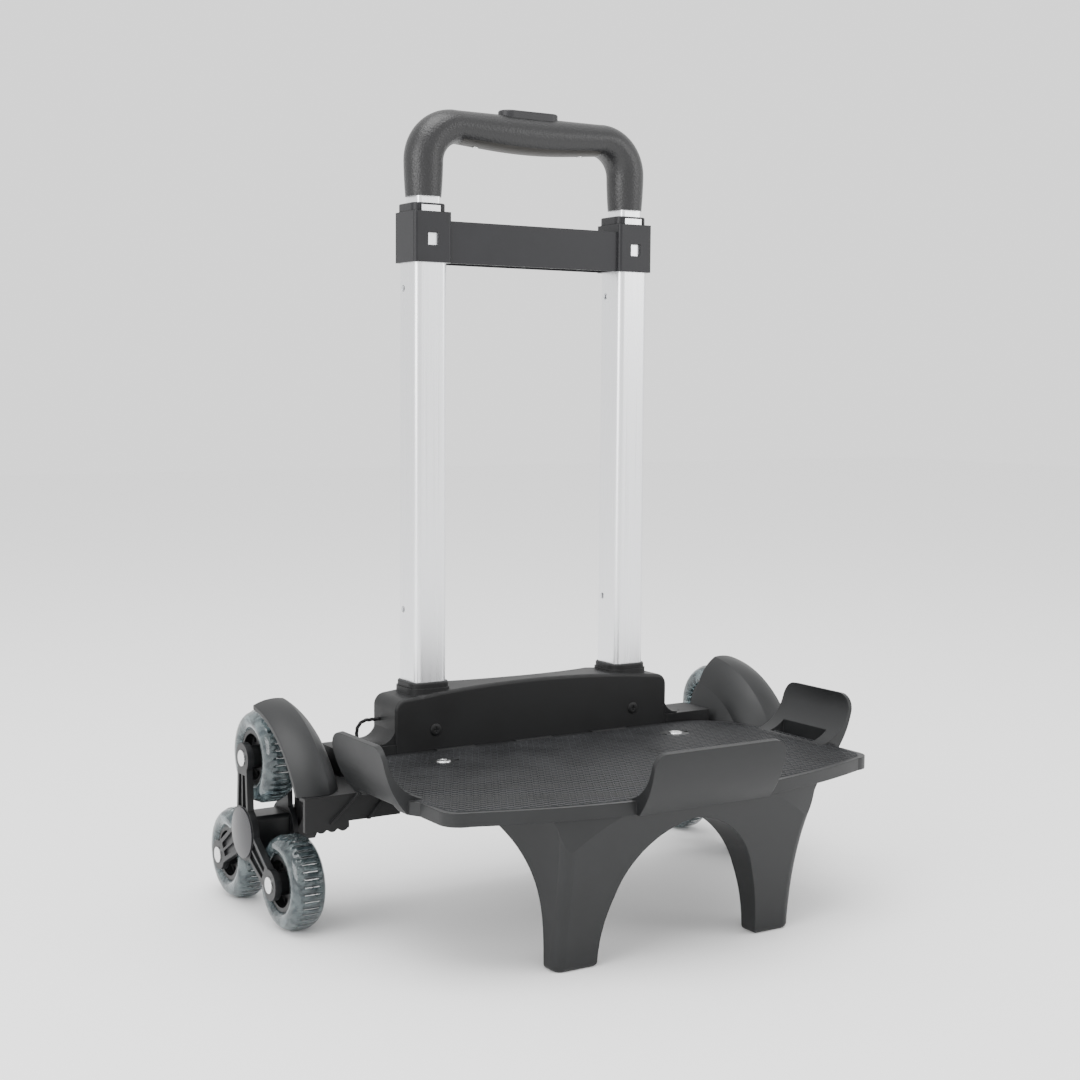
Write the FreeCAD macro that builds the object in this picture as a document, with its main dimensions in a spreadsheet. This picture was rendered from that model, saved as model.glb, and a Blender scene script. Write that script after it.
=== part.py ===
"""Backpack trolley with six stair-climbing wheels and a telescopic handle, in millimetres.

+X is the trolley's right, +Y its back, +Z up. The origin is on the ground under the middle of the
trolley's overall length and width. It is modelled as it stands: on its two front legs and four of
its six wheels, with the handle pushed down.
"""

import FreeCAD, Part
import Sketcher

import math
import os
import re

from FreeCAD import Placement, Rotation, Vector

doc = FreeCAD.newDocument("Trolley")
X, Y, Z = Vector(1, 0, 0), Vector(0, 1, 0), Vector(0, 0, 1)
SIDES = (("left", -1), ("right", 1))

# ------------------------------------------------------------------ driving dimensions

SIZES = {
    # stair wheels
    "wheel_diameter": 64.0,
    "wheel_width": 24.0,
    "core_diameter": 38.0,
    "core_width": 19.0,
    "web_width": 7.0,
    "window_circle": 27.0,
    "window_diameter": 3.8,
    "axle_diameter": 8.0,
    "running_gap": 0.05,
    "spider_radius": 51.8,
    "track": 390.0,
    "side_gap": 0.6,
    "plate_thickness": 4.6,
    "boss_diameter": 21.0,
    "arm_root": 21.0,
    "arm_tip": 15.0,
    "channel_depth": 1.8,
    "channel_rim": 2.6,
    "hub_boss_diameter": 38.0,
    "hub_axle_diameter": 10.0,
    "hub_head_diameter": 15.0,
    "hub_head_rise": 3.0,
    "hub_cap_diameter": 35.0,
    "hub_cap_edge": 0.8,
    "hub_cap_rise": 2.4,
    "axle_head_diameter": 11.0,
    "axle_head_rise": 0.8,
    "hub_line": 90.9,
    "hub_block": 25.0,
    "hub_block_corner": 3.0,
    # telescope
    "tube_spacing": 169.4,
    "tube_line": 67.6,
    "tube_width": 25.5,
    "tube_depth": 26.5,
    "tube_wall": 1.3,
    "tube_gap": 0.45,
    "tube_corner": 4.5,
    "corner_step": 0.8,
    "outer_top": 481.0,
    "middle_bottom": 100.0,
    "inner_bottom": 118.0,
    "lock_hole": 4.5,
    "low_lock_height": 207.0,
    "high_lock_height": 431.0,
    # upper bracket
    "bracket_bottom": 448.5,
    "bracket_height": 34.5,
    "bracket_wall": 1.9,
    "bracket_corner": 2.5,
    "bar_height": 28.7,
    "bar_depth": 22.0,
    "bar_recess": 3.0,
    "bar_wall": 2.2,
    "rib_thickness": 1.6,
    "window_size": 8.4,
    "window_height": 464.3,
    "head_rise": 6.0,
    "head_cap": 1.5,
    "head_lip": 2.0,
    "head_back": 2.0,
    # grip
    "grip_gap": 4.7,
    "grip_top": 554.8,
    "leg_girth": 25.0,
    "bend_girth": 27.5,
    "bend_radius": 25.0,
    "bar_depth_grip": 28.0,
    "bar_girth_end": 23.0,
    "bar_girth_middle": 26.6,
    "button_length": 47.5,
    "button_depth": 15.0,
    "button_rise": 3.4,
    "button_edge": 1.4,
    "button_travel": 4.0,
    "button_gap": 0.3,
    "rod_diameter": 3.0,
    "rod_inset": 2.0,
    "push_bar_rise": 3.6,
    "cover_screw_half": 43.7,
    "cover_head_bore": 5.2,
    # base
    "deck_top": 109.5,
    "deck_depth": 8.5,
    "deck_skin": 3.0,
    "deck_rim": 3.2,
    "deck_half": 168.5,
    "deck_corner": 14.0,
    "deck_front": -122.0,
    "deck_bow": 29.0,
    "housing_front": 49.0,
    "housing_half": 115.5,
    "housing_depth": 34.0,
    "housing_height": 147.5,
    "housing_arch": 6.0,
    "housing_wall": 2.6,
    "housing_waist": 17.0,
    "pad_rise": 5.5,
    "pad_lip": 3.6,
    "collar_seat": 2.0,
    "collar_rise": 4.0,
    "collar_lip": 2.6,
    "collar_round": 2.0,
    "beam_depth": 21.0,
    "arm_top": 116.0,
    "arm_flange": 98.0,
    "arm_front": 4.0,
    "arm_past": 10.0,
    "arm_inner": 137.0,
    "arm_wall": 3.0,
    "flange_depth": 8.5,
    "flange_thickness": 2.5,
    "comb_length": 31.5,
    "comb_pitch": 7.8,
    "comb_drop": 4.4,
    "gusset_rise": 2.2,
    "beam_front": 12.0,
    "beam_hollow_half": 60.0,
    "carrier_in": 35.0,
    "carrier_below": 9.5,
    "carrier_half": 12.0,
    "socket_floor": 4.0,
    # mudguards
    "fender_radius": 93.6,
    "fender_rim_radius": 90.2,
    "fender_shoulder": 74.0,
    "fender_skirt": 46.0,
    "fender_root": 36.0,
    "fender_wall": 2.8,
    "fender_in": 37.5,
    "fender_out": 13.0,
    "fender_back": 80.5,
    # front legs, lip and wings
    "foot_half_in": 63.5,
    "foot_half_out": 94.5,
    "foot_front": -124.0,
    "foot_back": -110.0,
    "leg_front_flare": 9.5,
    "leg_back_flare": 38.0,
    "leg_lean": 22.0,
    "leg_spread": 7.0,
    "leg_corner": 7.0,
    "leg_inset": 1.2,
    "foot_round": 3.5,
    "arch_height": 92.0,
    "leg_wall": 3.0,
    "lip_half": 51.6,
    "lip_height": 141.4,
    "lip_reach": -167.6,
    "wing_reach": 190.5,
    "wing_height": 143.5,
    "wing_root": 172.5,
    "wing_front": -76.5,
    "wing_back": -4.0,
    "blade": 3.6,
    "slot_inner": 9.0,
    "slot_width": 13.0,
    "slot_end": 12.5,
    "screw_diameter": 5.0,
    "screw_head": 10.5,
    "deck_screw_half": 97.9,
    "deck_screw_line": 13.3,
    "panel_screw_in": 0.5,
    "panel_screw_height": 123.8,
    "loop_reach": 17.5,
    "loop_bend": 8.0,
    "loop_cord": 2.8,
}

sheet = doc.addObject("Spreadsheet::Sheet", "Sizes")
for row, (alias, value) in enumerate(SIZES.items(), 1):
    sheet.set(f"A{row}", alias)
    sheet.set(f"B{row}", str(value))
    sheet.setAlias(f"B{row}", alias)
doc.recompute()

# What fits, seats or lines up is worked out from the driving dimensions.
HUB_Z = "(wheel_diameter + spider_radius) / 2"
WHEEL_X = "track / 2"
OUTER_FACE = f"({WHEEL_X} + wheel_width / 2 + side_gap)"
INNER_FACE = f"({WHEEL_X} - wheel_width / 2 - side_gap)"
TUBE_X = "tube_spacing / 2"
STEP = "(tube_wall + tube_gap)"
DECK_BOTTOM = "(deck_top - deck_depth)"
BEAM_BOTTOM = f"({DECK_BOTTOM} - beam_depth)"
TUBE_BOTTOM = f"({BEAM_BOTTOM} + socket_floor)"
BRACKET_TOP = "(bracket_bottom + bracket_height)"
HEAD_TOP = f"({BRACKET_TOP} + head_rise)"
GRIP_BOTTOM = f"({HEAD_TOP} + grip_gap)"
BAR_AXIS = "(grip_top - bar_girth_end / 2)"
BUTTON_TOP = "(grip_top + button_rise)"
BAR_LOW = "(grip_top - 15)"
COVER_FOOT = "(grip_top - 40)"
HOUSING_BACK = "(housing_front + housing_depth)"
PAD_TOP = "(housing_height + pad_rise)"
COLLAR_BOTTOM = f"({PAD_TOP} - collar_seat)"
HUB_FACE = f"({INNER_FACE} - plate_thickness - axle_head_rise)"
ARM_ROOT = "(arm_inner - 25)"
ARM_REACH = f"({WHEEL_X} + arm_past)"
CARRIER_INNER = f"({WHEEL_X} - carrier_in)"
FENDER_INNER = f"({WHEEL_X} - fender_in)"
FENDER_OUTER = f"({WHEEL_X} + fender_out)"
PANEL_SCREW_X = f"({TUBE_X} - panel_screw_in)"
COLLAR_CORNER = "(tube_corner + collar_lip + collar_round)"


# ------------------------------------------------------------------ how pieces are made


def bound(text):
    """The text with every size name pointing at its cell."""
    return re.sub(
        r"[a-z]\w+",
        lambda word: f"Sizes.{word[0]}" if word[0] in SIZES else word[0],
        str(text),
    )


def number(text):
    """What an expression comes to now."""
    return float(sheet.evalExpression(bound(text)))


def bind(thing, **expressions):
    """Binds properties of an object to expressions; at=(x, y, z) binds its position."""
    for name, text in expressions.items():
        if name == "at":
            for axis, place in zip("xyz", text):
                thing.setExpression(f"Placement.Base.{axis}", bound(place))
        else:
            thing.setExpression(name, bound(text))
    return thing


def box(name, low, size):
    """A block from its lowest corner and its three lengths."""
    block = doc.addObject("Part::Box", name)
    return bind(block, Length=size[0], Width=size[1], Height=size[2], at=low)


def cylinder(name, at, radius, height, axis=Z):
    """A round bar that starts at a point and runs along an axis."""
    bar = doc.addObject("Part::Cylinder", name)
    bar.Placement = Placement(Vector(), Rotation(Z, axis))
    return bind(bar, Radius=radius, Height=height, at=at)


def fuse(name, *pieces):
    joined = doc.addObject("Part::MultiFuse", name)
    joined.Shapes = list(pieces)
    joined.Refine = True
    doc.recompute()
    return joined


def cut(name, base, *tools):
    """The base less the tools."""
    less = doc.addObject("Part::Cut", name)
    less.Base = base
    less.Tool = tools[0] if len(tools) == 1 else fuse(name + "_tools", *tools)
    less.Refine = True
    doc.recompute()
    return less


def common(name, first, second):
    both = doc.addObject("Part::Common", name)
    both.Base, both.Tool = first, second
    doc.recompute()
    return both


def rounded(name, base, radius, test):
    """The base with a radius on each edge that passes the test."""
    doc.recompute()
    edges = [i for i, edge in enumerate(base.Shape.Edges, 1) if test(edge)]
    fillet = doc.addObject("Part::Fillet", name)
    fillet.Base = base
    fillet.Edges = [(i, radius, radius) for i in edges]
    doc.recompute()
    return fillet


def along(edge, axis):
    """Whether a straight edge runs along an axis."""
    if not isinstance(edge.Curve, Part.Line):
        return False
    return abs(edge.tangentAt(edge.FirstParameter).dot(axis)) > 0.999


def origin_plane(body, role):
    return next(f for f in body.Origin.OriginFeatures if f.Role == role)


def sketch(body, name, plane, outline, lift="0"):
    """A closed sketch. The outline is a list of corners (u, v); a corner followed by ("via", u, v)
    reaches the next corner on an arc through that point. Every place is bound to the sheet."""
    drawn = body.newObject("Sketcher::SketchObject", name)
    drawn.AttachmentSupport = [(origin_plane(body, plane), "")]
    drawn.MapMode = "FlatFace"
    drawn.setExpression("AttachmentOffset.Base.z", bound(lift))
    corners = [point for point in outline if point[0] != "via"]
    vias = {}
    for place, point in enumerate(outline):
        if point[0] == "via":
            vias[corners.index(outline[place - 1])] = point[1:]

    def spot(point):
        return Vector(number(point[0]), number(point[1]), 0)

    def hold(geometry, end, point):
        for kind, text in zip(("DistanceX", "DistanceY"), point):
            index = drawn.addConstraint(Sketcher.Constraint(kind, -1, 1, geometry, end, number(text)))
            drawn.setExpression(f"Constraints[{index}]", bound(text))

    ends = []
    for place, corner in enumerate(corners):
        following = corners[(place + 1) % len(corners)]
        if place in vias:
            arc = Part.Arc(spot(corner), spot(vias[place]), spot(following))
            edge = drawn.addGeometry(arc)
            start = drawn.getPoint(edge, 1)
            first, last = (1, 2) if start.distanceToPoint(spot(corner)) < 1e-6 else (2, 1)
            guide = drawn.addGeometry(Part.Point(spot(vias[place])), True)
            hold(guide, 1, vias[place])
            drawn.addConstraint(Sketcher.Constraint("PointOnObject", guide, 1, edge))
        else:
            edge = drawn.addGeometry(Part.LineSegment(spot(corner), spot(following)))
            first, last = 1, 2
        ends.append((edge, first, last))
    for place, (edge, first, last) in enumerate(ends):
        before, _, before_last = ends[place - 1]
        drawn.addConstraint(Sketcher.Constraint("Coincident", before, before_last, edge, first))
        hold(edge, first, corners[place])
    doc.recompute()
    return drawn


def padded(name, plane, outline, length, at=("0", "0", "0")):
    """A body with one pad of an outline."""
    body = doc.addObject("PartDesign::Body", name)
    drawn = sketch(body, name + "_outline", plane, outline)
    pad = body.newObject("PartDesign::Pad", name + "_pad")
    pad.Profile = drawn
    bind(pad, Length=length)
    bind(body, at=at)
    doc.recompute()
    return body


def lofted(name, sections):
    """A body lofted through level sections, each given as its height and its outline."""
    body = doc.addObject("PartDesign::Body", name)
    levels = [
        sketch(body, f"{name}_level_{place}", "XY_Plane", outline, height)
        for place, (height, outline) in enumerate(sections)
    ]
    loft = body.newObject("PartDesign::AdditiveLoft", name + "_loft")
    loft.Profile = levels[0]
    loft.Sections = levels[1:]
    doc.recompute()
    return body


def turned(name, outline, at):
    """A body turned about an axis along X. The outline is (along the axis, distance from it)."""
    body = doc.addObject("PartDesign::Body", name)
    drawn = sketch(body, name + "_outline", "XZ_Plane", outline)
    turn = body.newObject("PartDesign::Revolution", name + "_turn")
    turn.Profile = drawn
    turn.ReferenceAxis = (drawn, ["H_Axis"])
    turn.Angle = 360
    bind(body, at=at)
    doc.recompute()
    return body


def tube_blank(name, centre, width, depth, bottom, top, corner):
    """A solid bar of rounded rectangular section, standing up."""
    block = box(
        name + "_block",
        (f"({centre[0]}) - ({width}) / 2", f"({centre[1]}) - ({depth}) / 2", bottom),
        (width, depth, f"({top}) - ({bottom})"),
    )
    doc.recompute()
    return rounded(name, block, number(corner), lambda edge: along(edge, Z))


nodes = []


def node(name, thing):
    """Marks an object as a finished sub-part."""
    thing.Label = name
    nodes.append(thing)
    return thing


# ------------------------------------------------------------------ telescope tubes

STAGES = {
    # stage: (steps in from the outer tube, bottom, top)
    "outer": (0, TUBE_BOTTOM, "outer_top"),
    "middle": (1, "middle_bottom", f"{HEAD_TOP} - head_cap"),
    "inner": (2, "inner_bottom", f"{GRIP_BOTTOM} + 22"),
}


def stage_size(steps):
    """Outer width, depth and corner radius of a tube some steps in."""
    shrink = f"{2 * steps} * {STEP}"
    return (
        f"(tube_width - {shrink})",
        f"(tube_depth - {shrink})",
        f"(tube_corner - {steps} * corner_step)",
    )


def tube(stage, side, sign):
    steps, bottom, top = STAGES[stage]
    width, depth, corner = stage_size(steps)
    centre = (f"{sign} * {TUBE_X}", "tube_line")
    name = f"{stage}_tube_{side}"
    blank = tube_blank(name + "_blank", centre, width, depth, bottom, top, corner)
    bore = tube_blank(
        name + "_bore",
        centre,
        f"({width} - 2 * tube_wall)",
        f"({depth} - 2 * tube_wall)",
        f"({bottom} - 1)",
        f"({top} + 1)",
        f"({corner} - tube_wall)",
    )
    tools = [bore]
    if stage == "outer":
        for place in ("low", "high"):
            tools.append(
                cylinder(
                    f"{name}_{place}_hole",
                    (
                        f"{sign} * {TUBE_X} - tube_width",
                        "tube_line + tube_depth / 5",
                        f"{place}_lock_height",
                    ),
                    "lock_hole / 2",
                    "2 * tube_width",
                    X,
                )
            )
    return node(name, cut(name, blank, *tools))


for side, sign in SIDES:
    for stage in STAGES:
        tube(stage, side, sign)

    outer_bore = ("(tube_width - 2 * tube_wall)", "(tube_depth - 2 * tube_wall)")
    centre = (f"{sign} * {TUBE_X}", "tube_line")
    plug = tube_blank(
        f"tube_plug_{side}",
        centre,
        *outer_bore,
        TUBE_BOTTOM,
        f"({TUBE_BOTTOM} + 9)",
        "(tube_corner - tube_wall)",
    )
    node(f"tube_plug_{side}", plug)

    # Each moving stage carries a lock block in its lower end, with its pin drawn back.
    for stage, steps in (("middle", 1), ("inner", 2)):
        width, depth, corner = stage_size(steps)
        bottom = STAGES[stage][1]
        block = tube_blank(
            f"{stage}_lock_{side}",
            centre,
            f"({width} - 2 * tube_wall)",
            f"({depth} - 2 * tube_wall)",
            bottom,
            f"({bottom} + 14)",
            f"({corner} - tube_wall)",
        )
        node(f"{stage}_lock_{side}", block)

    # A collar closes the gap between tube and housing.
    ring = tube_blank(
        f"tube_collar_{side}_blank",
        centre,
        "(tube_width + 2 * collar_lip)",
        "(tube_depth + 2 * collar_lip)",
        COLLAR_BOTTOM,
        f"({PAD_TOP} + collar_rise)",
        COLLAR_CORNER,
    )
    soft_ring = rounded(
        f"tube_collar_{side}_soft",
        ring,
        number("collar_round") * 0.6,
        lambda edge: edge.BoundBox.ZMin > number(f"{PAD_TOP} + collar_rise") - 0.01,
    )
    hole = tube_blank(
        f"tube_collar_{side}_hole",
        centre,
        "tube_width",
        "tube_depth",
        f"({COLLAR_BOTTOM} - 1)",
        f"({PAD_TOP} + collar_rise + 1)",
        "tube_corner",
    )
    node(f"tube_collar_{side}", cut(f"tube_collar_{side}", soft_ring, hole))

    # The head of the middle stage is a collar that stops against the bracket's top.
    width, depth, corner = stage_size(1)
    skirt = tube_blank(
        f"middle_head_{side}_skirt",
        (centre[0], "(tube_line + head_back)"),
        f"({width} + 2 * head_lip)",
        f"({depth} + 2 * head_lip)",
        f"({BRACKET_TOP} + 0.3)",
        HEAD_TOP,
        f"({corner} + head_lip)",
    )
    soft_skirt = rounded(
        f"middle_head_{side}_soft",
        skirt,
        number("head_cap") * 0.6,
        lambda edge: edge.BoundBox.ZMin > number(HEAD_TOP) - 0.01,
    )
    middle_outside = tube_blank(
        f"middle_head_{side}_seat",
        centre,
        width,
        depth,
        f"({BRACKET_TOP} - 1)",
        f"({HEAD_TOP} - head_cap)",
        corner,
    )
    width, depth, corner = stage_size(2)
    mouth = tube_blank(
        f"middle_head_{side}_mouth",
        centre,
        f"({width} + 2 * tube_gap)",
        f"({depth} + 2 * tube_gap)",
        f"({BRACKET_TOP} - 2)",
        f"({HEAD_TOP} + 2)",
        f"({corner} + tube_gap)",
    )
    node(f"middle_head_{side}", cut(f"middle_head_{side}", soft_skirt, middle_outside, mouth))

# ------------------------------------------------------------------ upper bracket


def upper_bracket():
    """Two blocks on the tops of the outer tubes, joined by a hollow, ribbed bar."""
    wide = "(tube_width + 2 * bracket_wall)"
    deep = "(tube_depth + 2 * bracket_wall)"
    front = "(tube_line - tube_depth / 2 - bracket_wall)"
    reach = f"(tube_spacing - {wide})"
    solids, tools = [], []
    bar = box(
        "bracket_bar",
        (f"-({reach}) / 2 - 1", f"{front} + bar_recess", "bracket_bottom"),
        (f"{reach} + 2", "bar_depth", "bar_height"),
    )
    hollow = box(
        "bracket_bar_hollow",
        (f"-({reach}) / 2 + 2", f"{front} + bar_recess + bar_wall", "bracket_bottom - 1"),
        (f"{reach} - 4", "bar_depth - 2 * bar_wall", "bar_height + 1 - bar_wall"),
    )
    bar_shell = cut("bracket_bar_shell", bar, hollow)
    solids.append(bar_shell)
    for place in range(1, 6):
        rib = box(
            f"bracket_rib_{place}",
            (
                f"({reach}) * ({place} / 6 - 0.5) - rib_thickness / 2",
                f"{front} + bar_recess + 1",
                "bracket_bottom + 1",
            ),
            ("rib_thickness", "bar_depth - 2", "bar_height - 2"),
        )
        solids.append(rib)
    for side, sign in SIDES:
        centre = (f"{sign} * {TUBE_X}", "tube_line")
        solids.append(
            tube_blank(
                f"bracket_block_{side}",
                centre,
                wide,
                deep,
                "bracket_bottom",
                BRACKET_TOP,
                "bracket_corner",
            )
        )
        tools.append(
            tube_blank(
                f"bracket_socket_{side}",
                centre,
                "tube_width",
                "tube_depth",
                "(bracket_bottom - 1)",
                "outer_top",
                "tube_corner",
            )
        )
        width, depth, corner = stage_size(1)
        tools.append(
            tube_blank(
                f"bracket_mouth_{side}",
                centre,
                f"({width} + 2 * tube_gap)",
                f"({depth} + 2 * tube_gap)",
                "(outer_top - 1)",
                f"({BRACKET_TOP} + 1)",
                f"({corner} + tube_gap)",
            )
        )
        tools.append(
            box(
                f"bracket_window_{side}",
                (
                    f"{sign} * {TUBE_X} - window_size / 2",
                    f"{front} - 1",
                    "window_height - window_size / 2",
                ),
                ("window_size", "bracket_wall + 1", "window_size"),
            )
        )
    return node("upper_bracket", cut("upper_bracket", fuse("bracket_body", *solids), *tools))


upper_bracket()

# ------------------------------------------------------------------ grip and push button


def oval(centre, across, deep, upright):
    """An oval section in a plane across the grip: upright sections face up, others face along X."""
    half_across, half_deep = across / 2, deep / 2
    if upright:
        turn = Rotation(Z, 0)
    else:
        turn = Rotation(Y, 90)
    long_way = max(half_across, half_deep)
    short_way = min(half_across, half_deep)
    ring = Part.Ellipse(Vector(), long_way, short_way).toShape()
    if half_across < half_deep:
        ring.rotate(Vector(), Z, 90)
    ring = Part.Wire([ring])
    ring.Placement = Placement(centre, turn).multiply(ring.Placement)
    return ring


def grip_blank():
    """The outside of the grip: an oval section swept up one leg, round, along the bar and down."""
    legs, line = number(TUBE_X), number("tube_line")
    low, axis = number(GRIP_BOTTOM), number(BAR_AXIS)
    bend = number("bend_radius")
    leg, corner = number("leg_girth"), number("bend_girth")
    deep, end, middle = number("bar_depth_grip"), number("bar_girth_end"), number("bar_girth_middle")
    shoulder = axis - bend
    swell = number("grip_top") - middle / 2
    pieces = []
    slant = math.sqrt(0.5)
    path = Part.Wire(
        [
            Part.LineSegment(Vector(-legs, line, low), Vector(-legs, line, shoulder)).toShape(),
            Part.Arc(
                Vector(-legs, line, shoulder),
                Vector(-legs + bend * (1 - slant), line, shoulder + bend * slant),
                Vector(-legs + bend, line, axis),
            ).toShape(),
        ]
    )
    sections = [
        oval(Vector(-legs, line, low), leg, leg, True),
        oval(Vector(-legs, line, shoulder), corner, corner, True),
        oval(Vector(-legs + bend, line, axis), end, deep, False),
    ]
    pieces.append(path.makePipeShell(sections, True, False))
    bar = [
        oval(Vector(-legs + bend, line, axis), end, deep, False),
        oval(
            Vector(-0.4 * legs, line, (axis * 0.4 + swell * 0.6)),
            end * 0.4 + middle * 0.6,
            deep,
            False,
        ),
        oval(Vector(0, line, swell), middle, deep, False),
        oval(Vector(0.4 * legs, line, (axis * 0.4 + swell * 0.6)), end * 0.4 + middle * 0.6, deep, False),
        oval(Vector(legs - bend, line, axis), end, deep, False),
    ]
    pieces.append(Part.makeLoft(bar, True, False))
    pieces.append(pieces[0].mirror(Vector(), X))
    return pieces[0].fuse(pieces[1:]).removeSplitter()


def shaped(name, shape):
    """A piece whose shape is made directly, where no bound feature gives it."""
    piece = doc.addObject("Part::Feature", name)
    piece.Shape = shape
    doc.recompute()
    return piece


def stadium(name, length, depth, bottom, height):
    """A block with round ends, centred on the bar of the grip."""
    middle = box(
        name + "_middle",
        (f"-({length} - {depth}) / 2", f"tube_line - ({depth}) / 2", bottom),
        (f"{length} - {depth}", depth, height),
    )
    ends = [
        cylinder(
            f"{name}_end_{side}",
            (f"{sign} * ({length} - {depth}) / 2", "tube_line", bottom),
            f"({depth}) / 2",
            height,
        )
        for side, sign in SIDES
    ]
    return fuse(name, middle, *ends)


def grip():
    """Grip in two mouldings, with a cavity for the button's bar, and the button's own parts."""
    blank = shaped("grip_blank", grip_blank())
    blank_again = shaped("grip_blank_for_cover", blank.Shape.copy())
    rod_x = f"({TUBE_X} - rod_inset)"
    bar_half = f"({rod_x} + 2.5)"
    low = f"({BAR_LOW} - button_travel - 0.5)"
    cavity = box(
        "grip_cavity",
        (f"-({bar_half}) - 0.6", "tube_line - 5.5", low),
        (f"2 * ({bar_half}) + 1.2", "11", "button_travel + 5"),
    )
    well = box(
        "grip_well",
        ("-button_length / 2 - 3", "tube_line - button_depth / 2 - 1.5", low),
        ("button_length + 6", "button_depth + 3", f"grip_top - 4 - ({low})"),
    )
    slot = stadium(
        "grip_slot",
        "(button_length + 2 * button_gap)",
        "(button_depth + 2 * button_gap)",
        "(grip_top - 8)",
        "14",
    )
    width, depth, corner = stage_size(2)
    tools = [cavity, well, slot]
    for side, sign in SIDES:
        tools.append(
            tube_blank(
                f"grip_socket_{side}",
                (f"{sign} * {TUBE_X}", "tube_line"),
                width,
                depth,
                f"({GRIP_BOTTOM} - 1)",
                STAGES["inner"][2],
                corner,
            )
        )
        tools.append(
            box(
                f"grip_rod_way_{side}",
                (f"{sign} * {rod_x} - 2.2", "tube_line - 2.2", f"({STAGES['inner'][2]} - 1)"),
                ("4.4", "4.4", f"{low} - ({STAGES['inner'][2]}) + 2"),
            )
        )
    seat_top = f"({low} - 1)"
    cover_zone = box(
        "grip_cover_zone",
        (f"-({TUBE_X} - bend_radius) + 2", "tube_line - 10", COVER_FOOT),
        (f"2 * ({TUBE_X} - bend_radius) - 4", "20", f"{seat_top} - {COVER_FOOT}"),
    )
    screw_holes = [
        cylinder(
            f"grip_screw_hole_{side}",
            (f"{sign} * cover_screw_half", "tube_line", COVER_FOOT),
            "cover_head_bore / 2",
            f"{seat_top} - 2.5 - {COVER_FOOT}",
        )
        for side, sign in SIDES
    ]
    threads = [
        cylinder(
            f"grip_thread_{side}",
            (f"{sign} * cover_screw_half", "tube_line", f"{seat_top} - 3"),
            "1.3",
            "3.4",
        )
        for side, sign in SIDES
    ]
    shell = cut("grip_shell", blank, *tools, cover_zone, *threads)
    node("grip_shell", shell)
    cover_zone_again = box(
        "grip_cover_block",
        (f"-({TUBE_X} - bend_radius) + 2.1", "tube_line - 9.9", COVER_FOOT),
        (f"2 * ({TUBE_X} - bend_radius) - 4.2", "19.8", f"{seat_top} - {COVER_FOOT}"),
    )
    cover = common("grip_cover_blank", blank_again, cover_zone_again)
    bores = [
        cylinder(
            f"grip_cover_bore_{side}",
            (f"{sign} * cover_screw_half", "tube_line", COVER_FOOT),
            "1.3",
            "40",
        )
        for side, sign in SIDES
    ]
    node("grip_cover", cut("grip_cover", cover, *screw_holes, *bores))

    screws = []
    for side, sign in SIDES:
        head = cylinder(
            f"grip_screw_head_{side}",
            (f"{sign} * cover_screw_half", "tube_line", f"{seat_top} - 4.3"),
            "cover_head_bore / 2 - 0.2",
            "1.8",
        )
        shank = cylinder(
            f"grip_screw_shank_{side}",
            (f"{sign} * cover_screw_half", "tube_line", f"{seat_top} - 3"),
            "1.25",
            "3.3",
        )
        screws.append(fuse(f"grip_screw_{side}", head, shank))
    node("grip_screws", fuse("grip_screws", *screws))

    # The button stands on a flat bar, and the bar's ends push a rod down inside each inner tube.
    cap_blank = stadium(
        "button_cap_blank",
        "button_length",
        "button_depth",
        f"{BAR_LOW} + push_bar_rise",
        f"{BUTTON_TOP} - {BAR_LOW} - push_bar_rise",
    )
    cap = rounded(
        "button_cap",
        cap_blank,
        number("button_edge"),
        lambda edge: edge.BoundBox.ZMin > number(BUTTON_TOP) - 0.01,
    )
    stop = box(
        "button_stop",
        ("-button_length / 2 - 2", "tube_line - button_depth / 2 - 1", f"{BAR_LOW} + push_bar_rise"),
        ("button_length + 4", "button_depth + 2", f"grip_top - 4.4 - {BAR_LOW} - push_bar_rise"),
    )
    spring_way = cylinder("button_spring_way", ("0", "tube_line", f"{BAR_LOW}"), "5", "12")
    node("push_button", cut("push_button", fuse("button_body", cap, stop), spring_way))
    bar = box(
        "push_bar_blank",
        (f"-({bar_half})", "tube_line - 4.5", BAR_LOW),
        (f"2 * ({bar_half})", "9", "push_bar_rise"),
    )
    bar_hole = cylinder("push_bar_hole", ("0", "tube_line", f"{BAR_LOW} - 1"), "4.4", "6")
    node("push_bar", cut("push_bar", bar, bar_hole))
    rod_low = "(inner_bottom + 14 + button_travel + 1)"
    rods = [
        cylinder(
            f"release_rod_{side}",
            (f"{sign} * {rod_x}", "tube_line", rod_low),
            "rod_diameter / 2",
            f"{BAR_LOW} - {rod_low}",
        )
        for side, sign in SIDES
    ]
    node("release_rods", fuse("release_rods", *rods))

    # Coil spring between the floor of the cavity and the button.
    wire, coil, turns = 0.9, 3.6, 5
    foot = number(low) + wire / 2 + 0.05
    length = number(BAR_LOW) + 12 - wire - foot
    helix = Part.makeHelix(length / turns, length, coil)
    start = Part.Wire([Part.Circle(Vector(coil, 0, 0), Y, wire / 2).toShape()])
    coil_shape = Part.Wire(helix.Edges).makePipeShell([start], True, True)
    coil_shape.translate(Vector(0, number("tube_line"), foot))
    node("button_spring", shaped("button_spring", coil_shape))


grip()

# ------------------------------------------------------------------ wheels and spiders

PLACES = (("top", 90), ("front", 210), ("rear", 330))


def wheel_centre(sign, angle):
    """Where a wheel of the spider stands, its mid plane on the track."""
    return (
        f"{sign} * {WHEEL_X}",
        f"hub_line + spider_radius * cos({angle} deg)",
        f"{HUB_Z} + spider_radius * sin({angle} deg)",
    )


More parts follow.
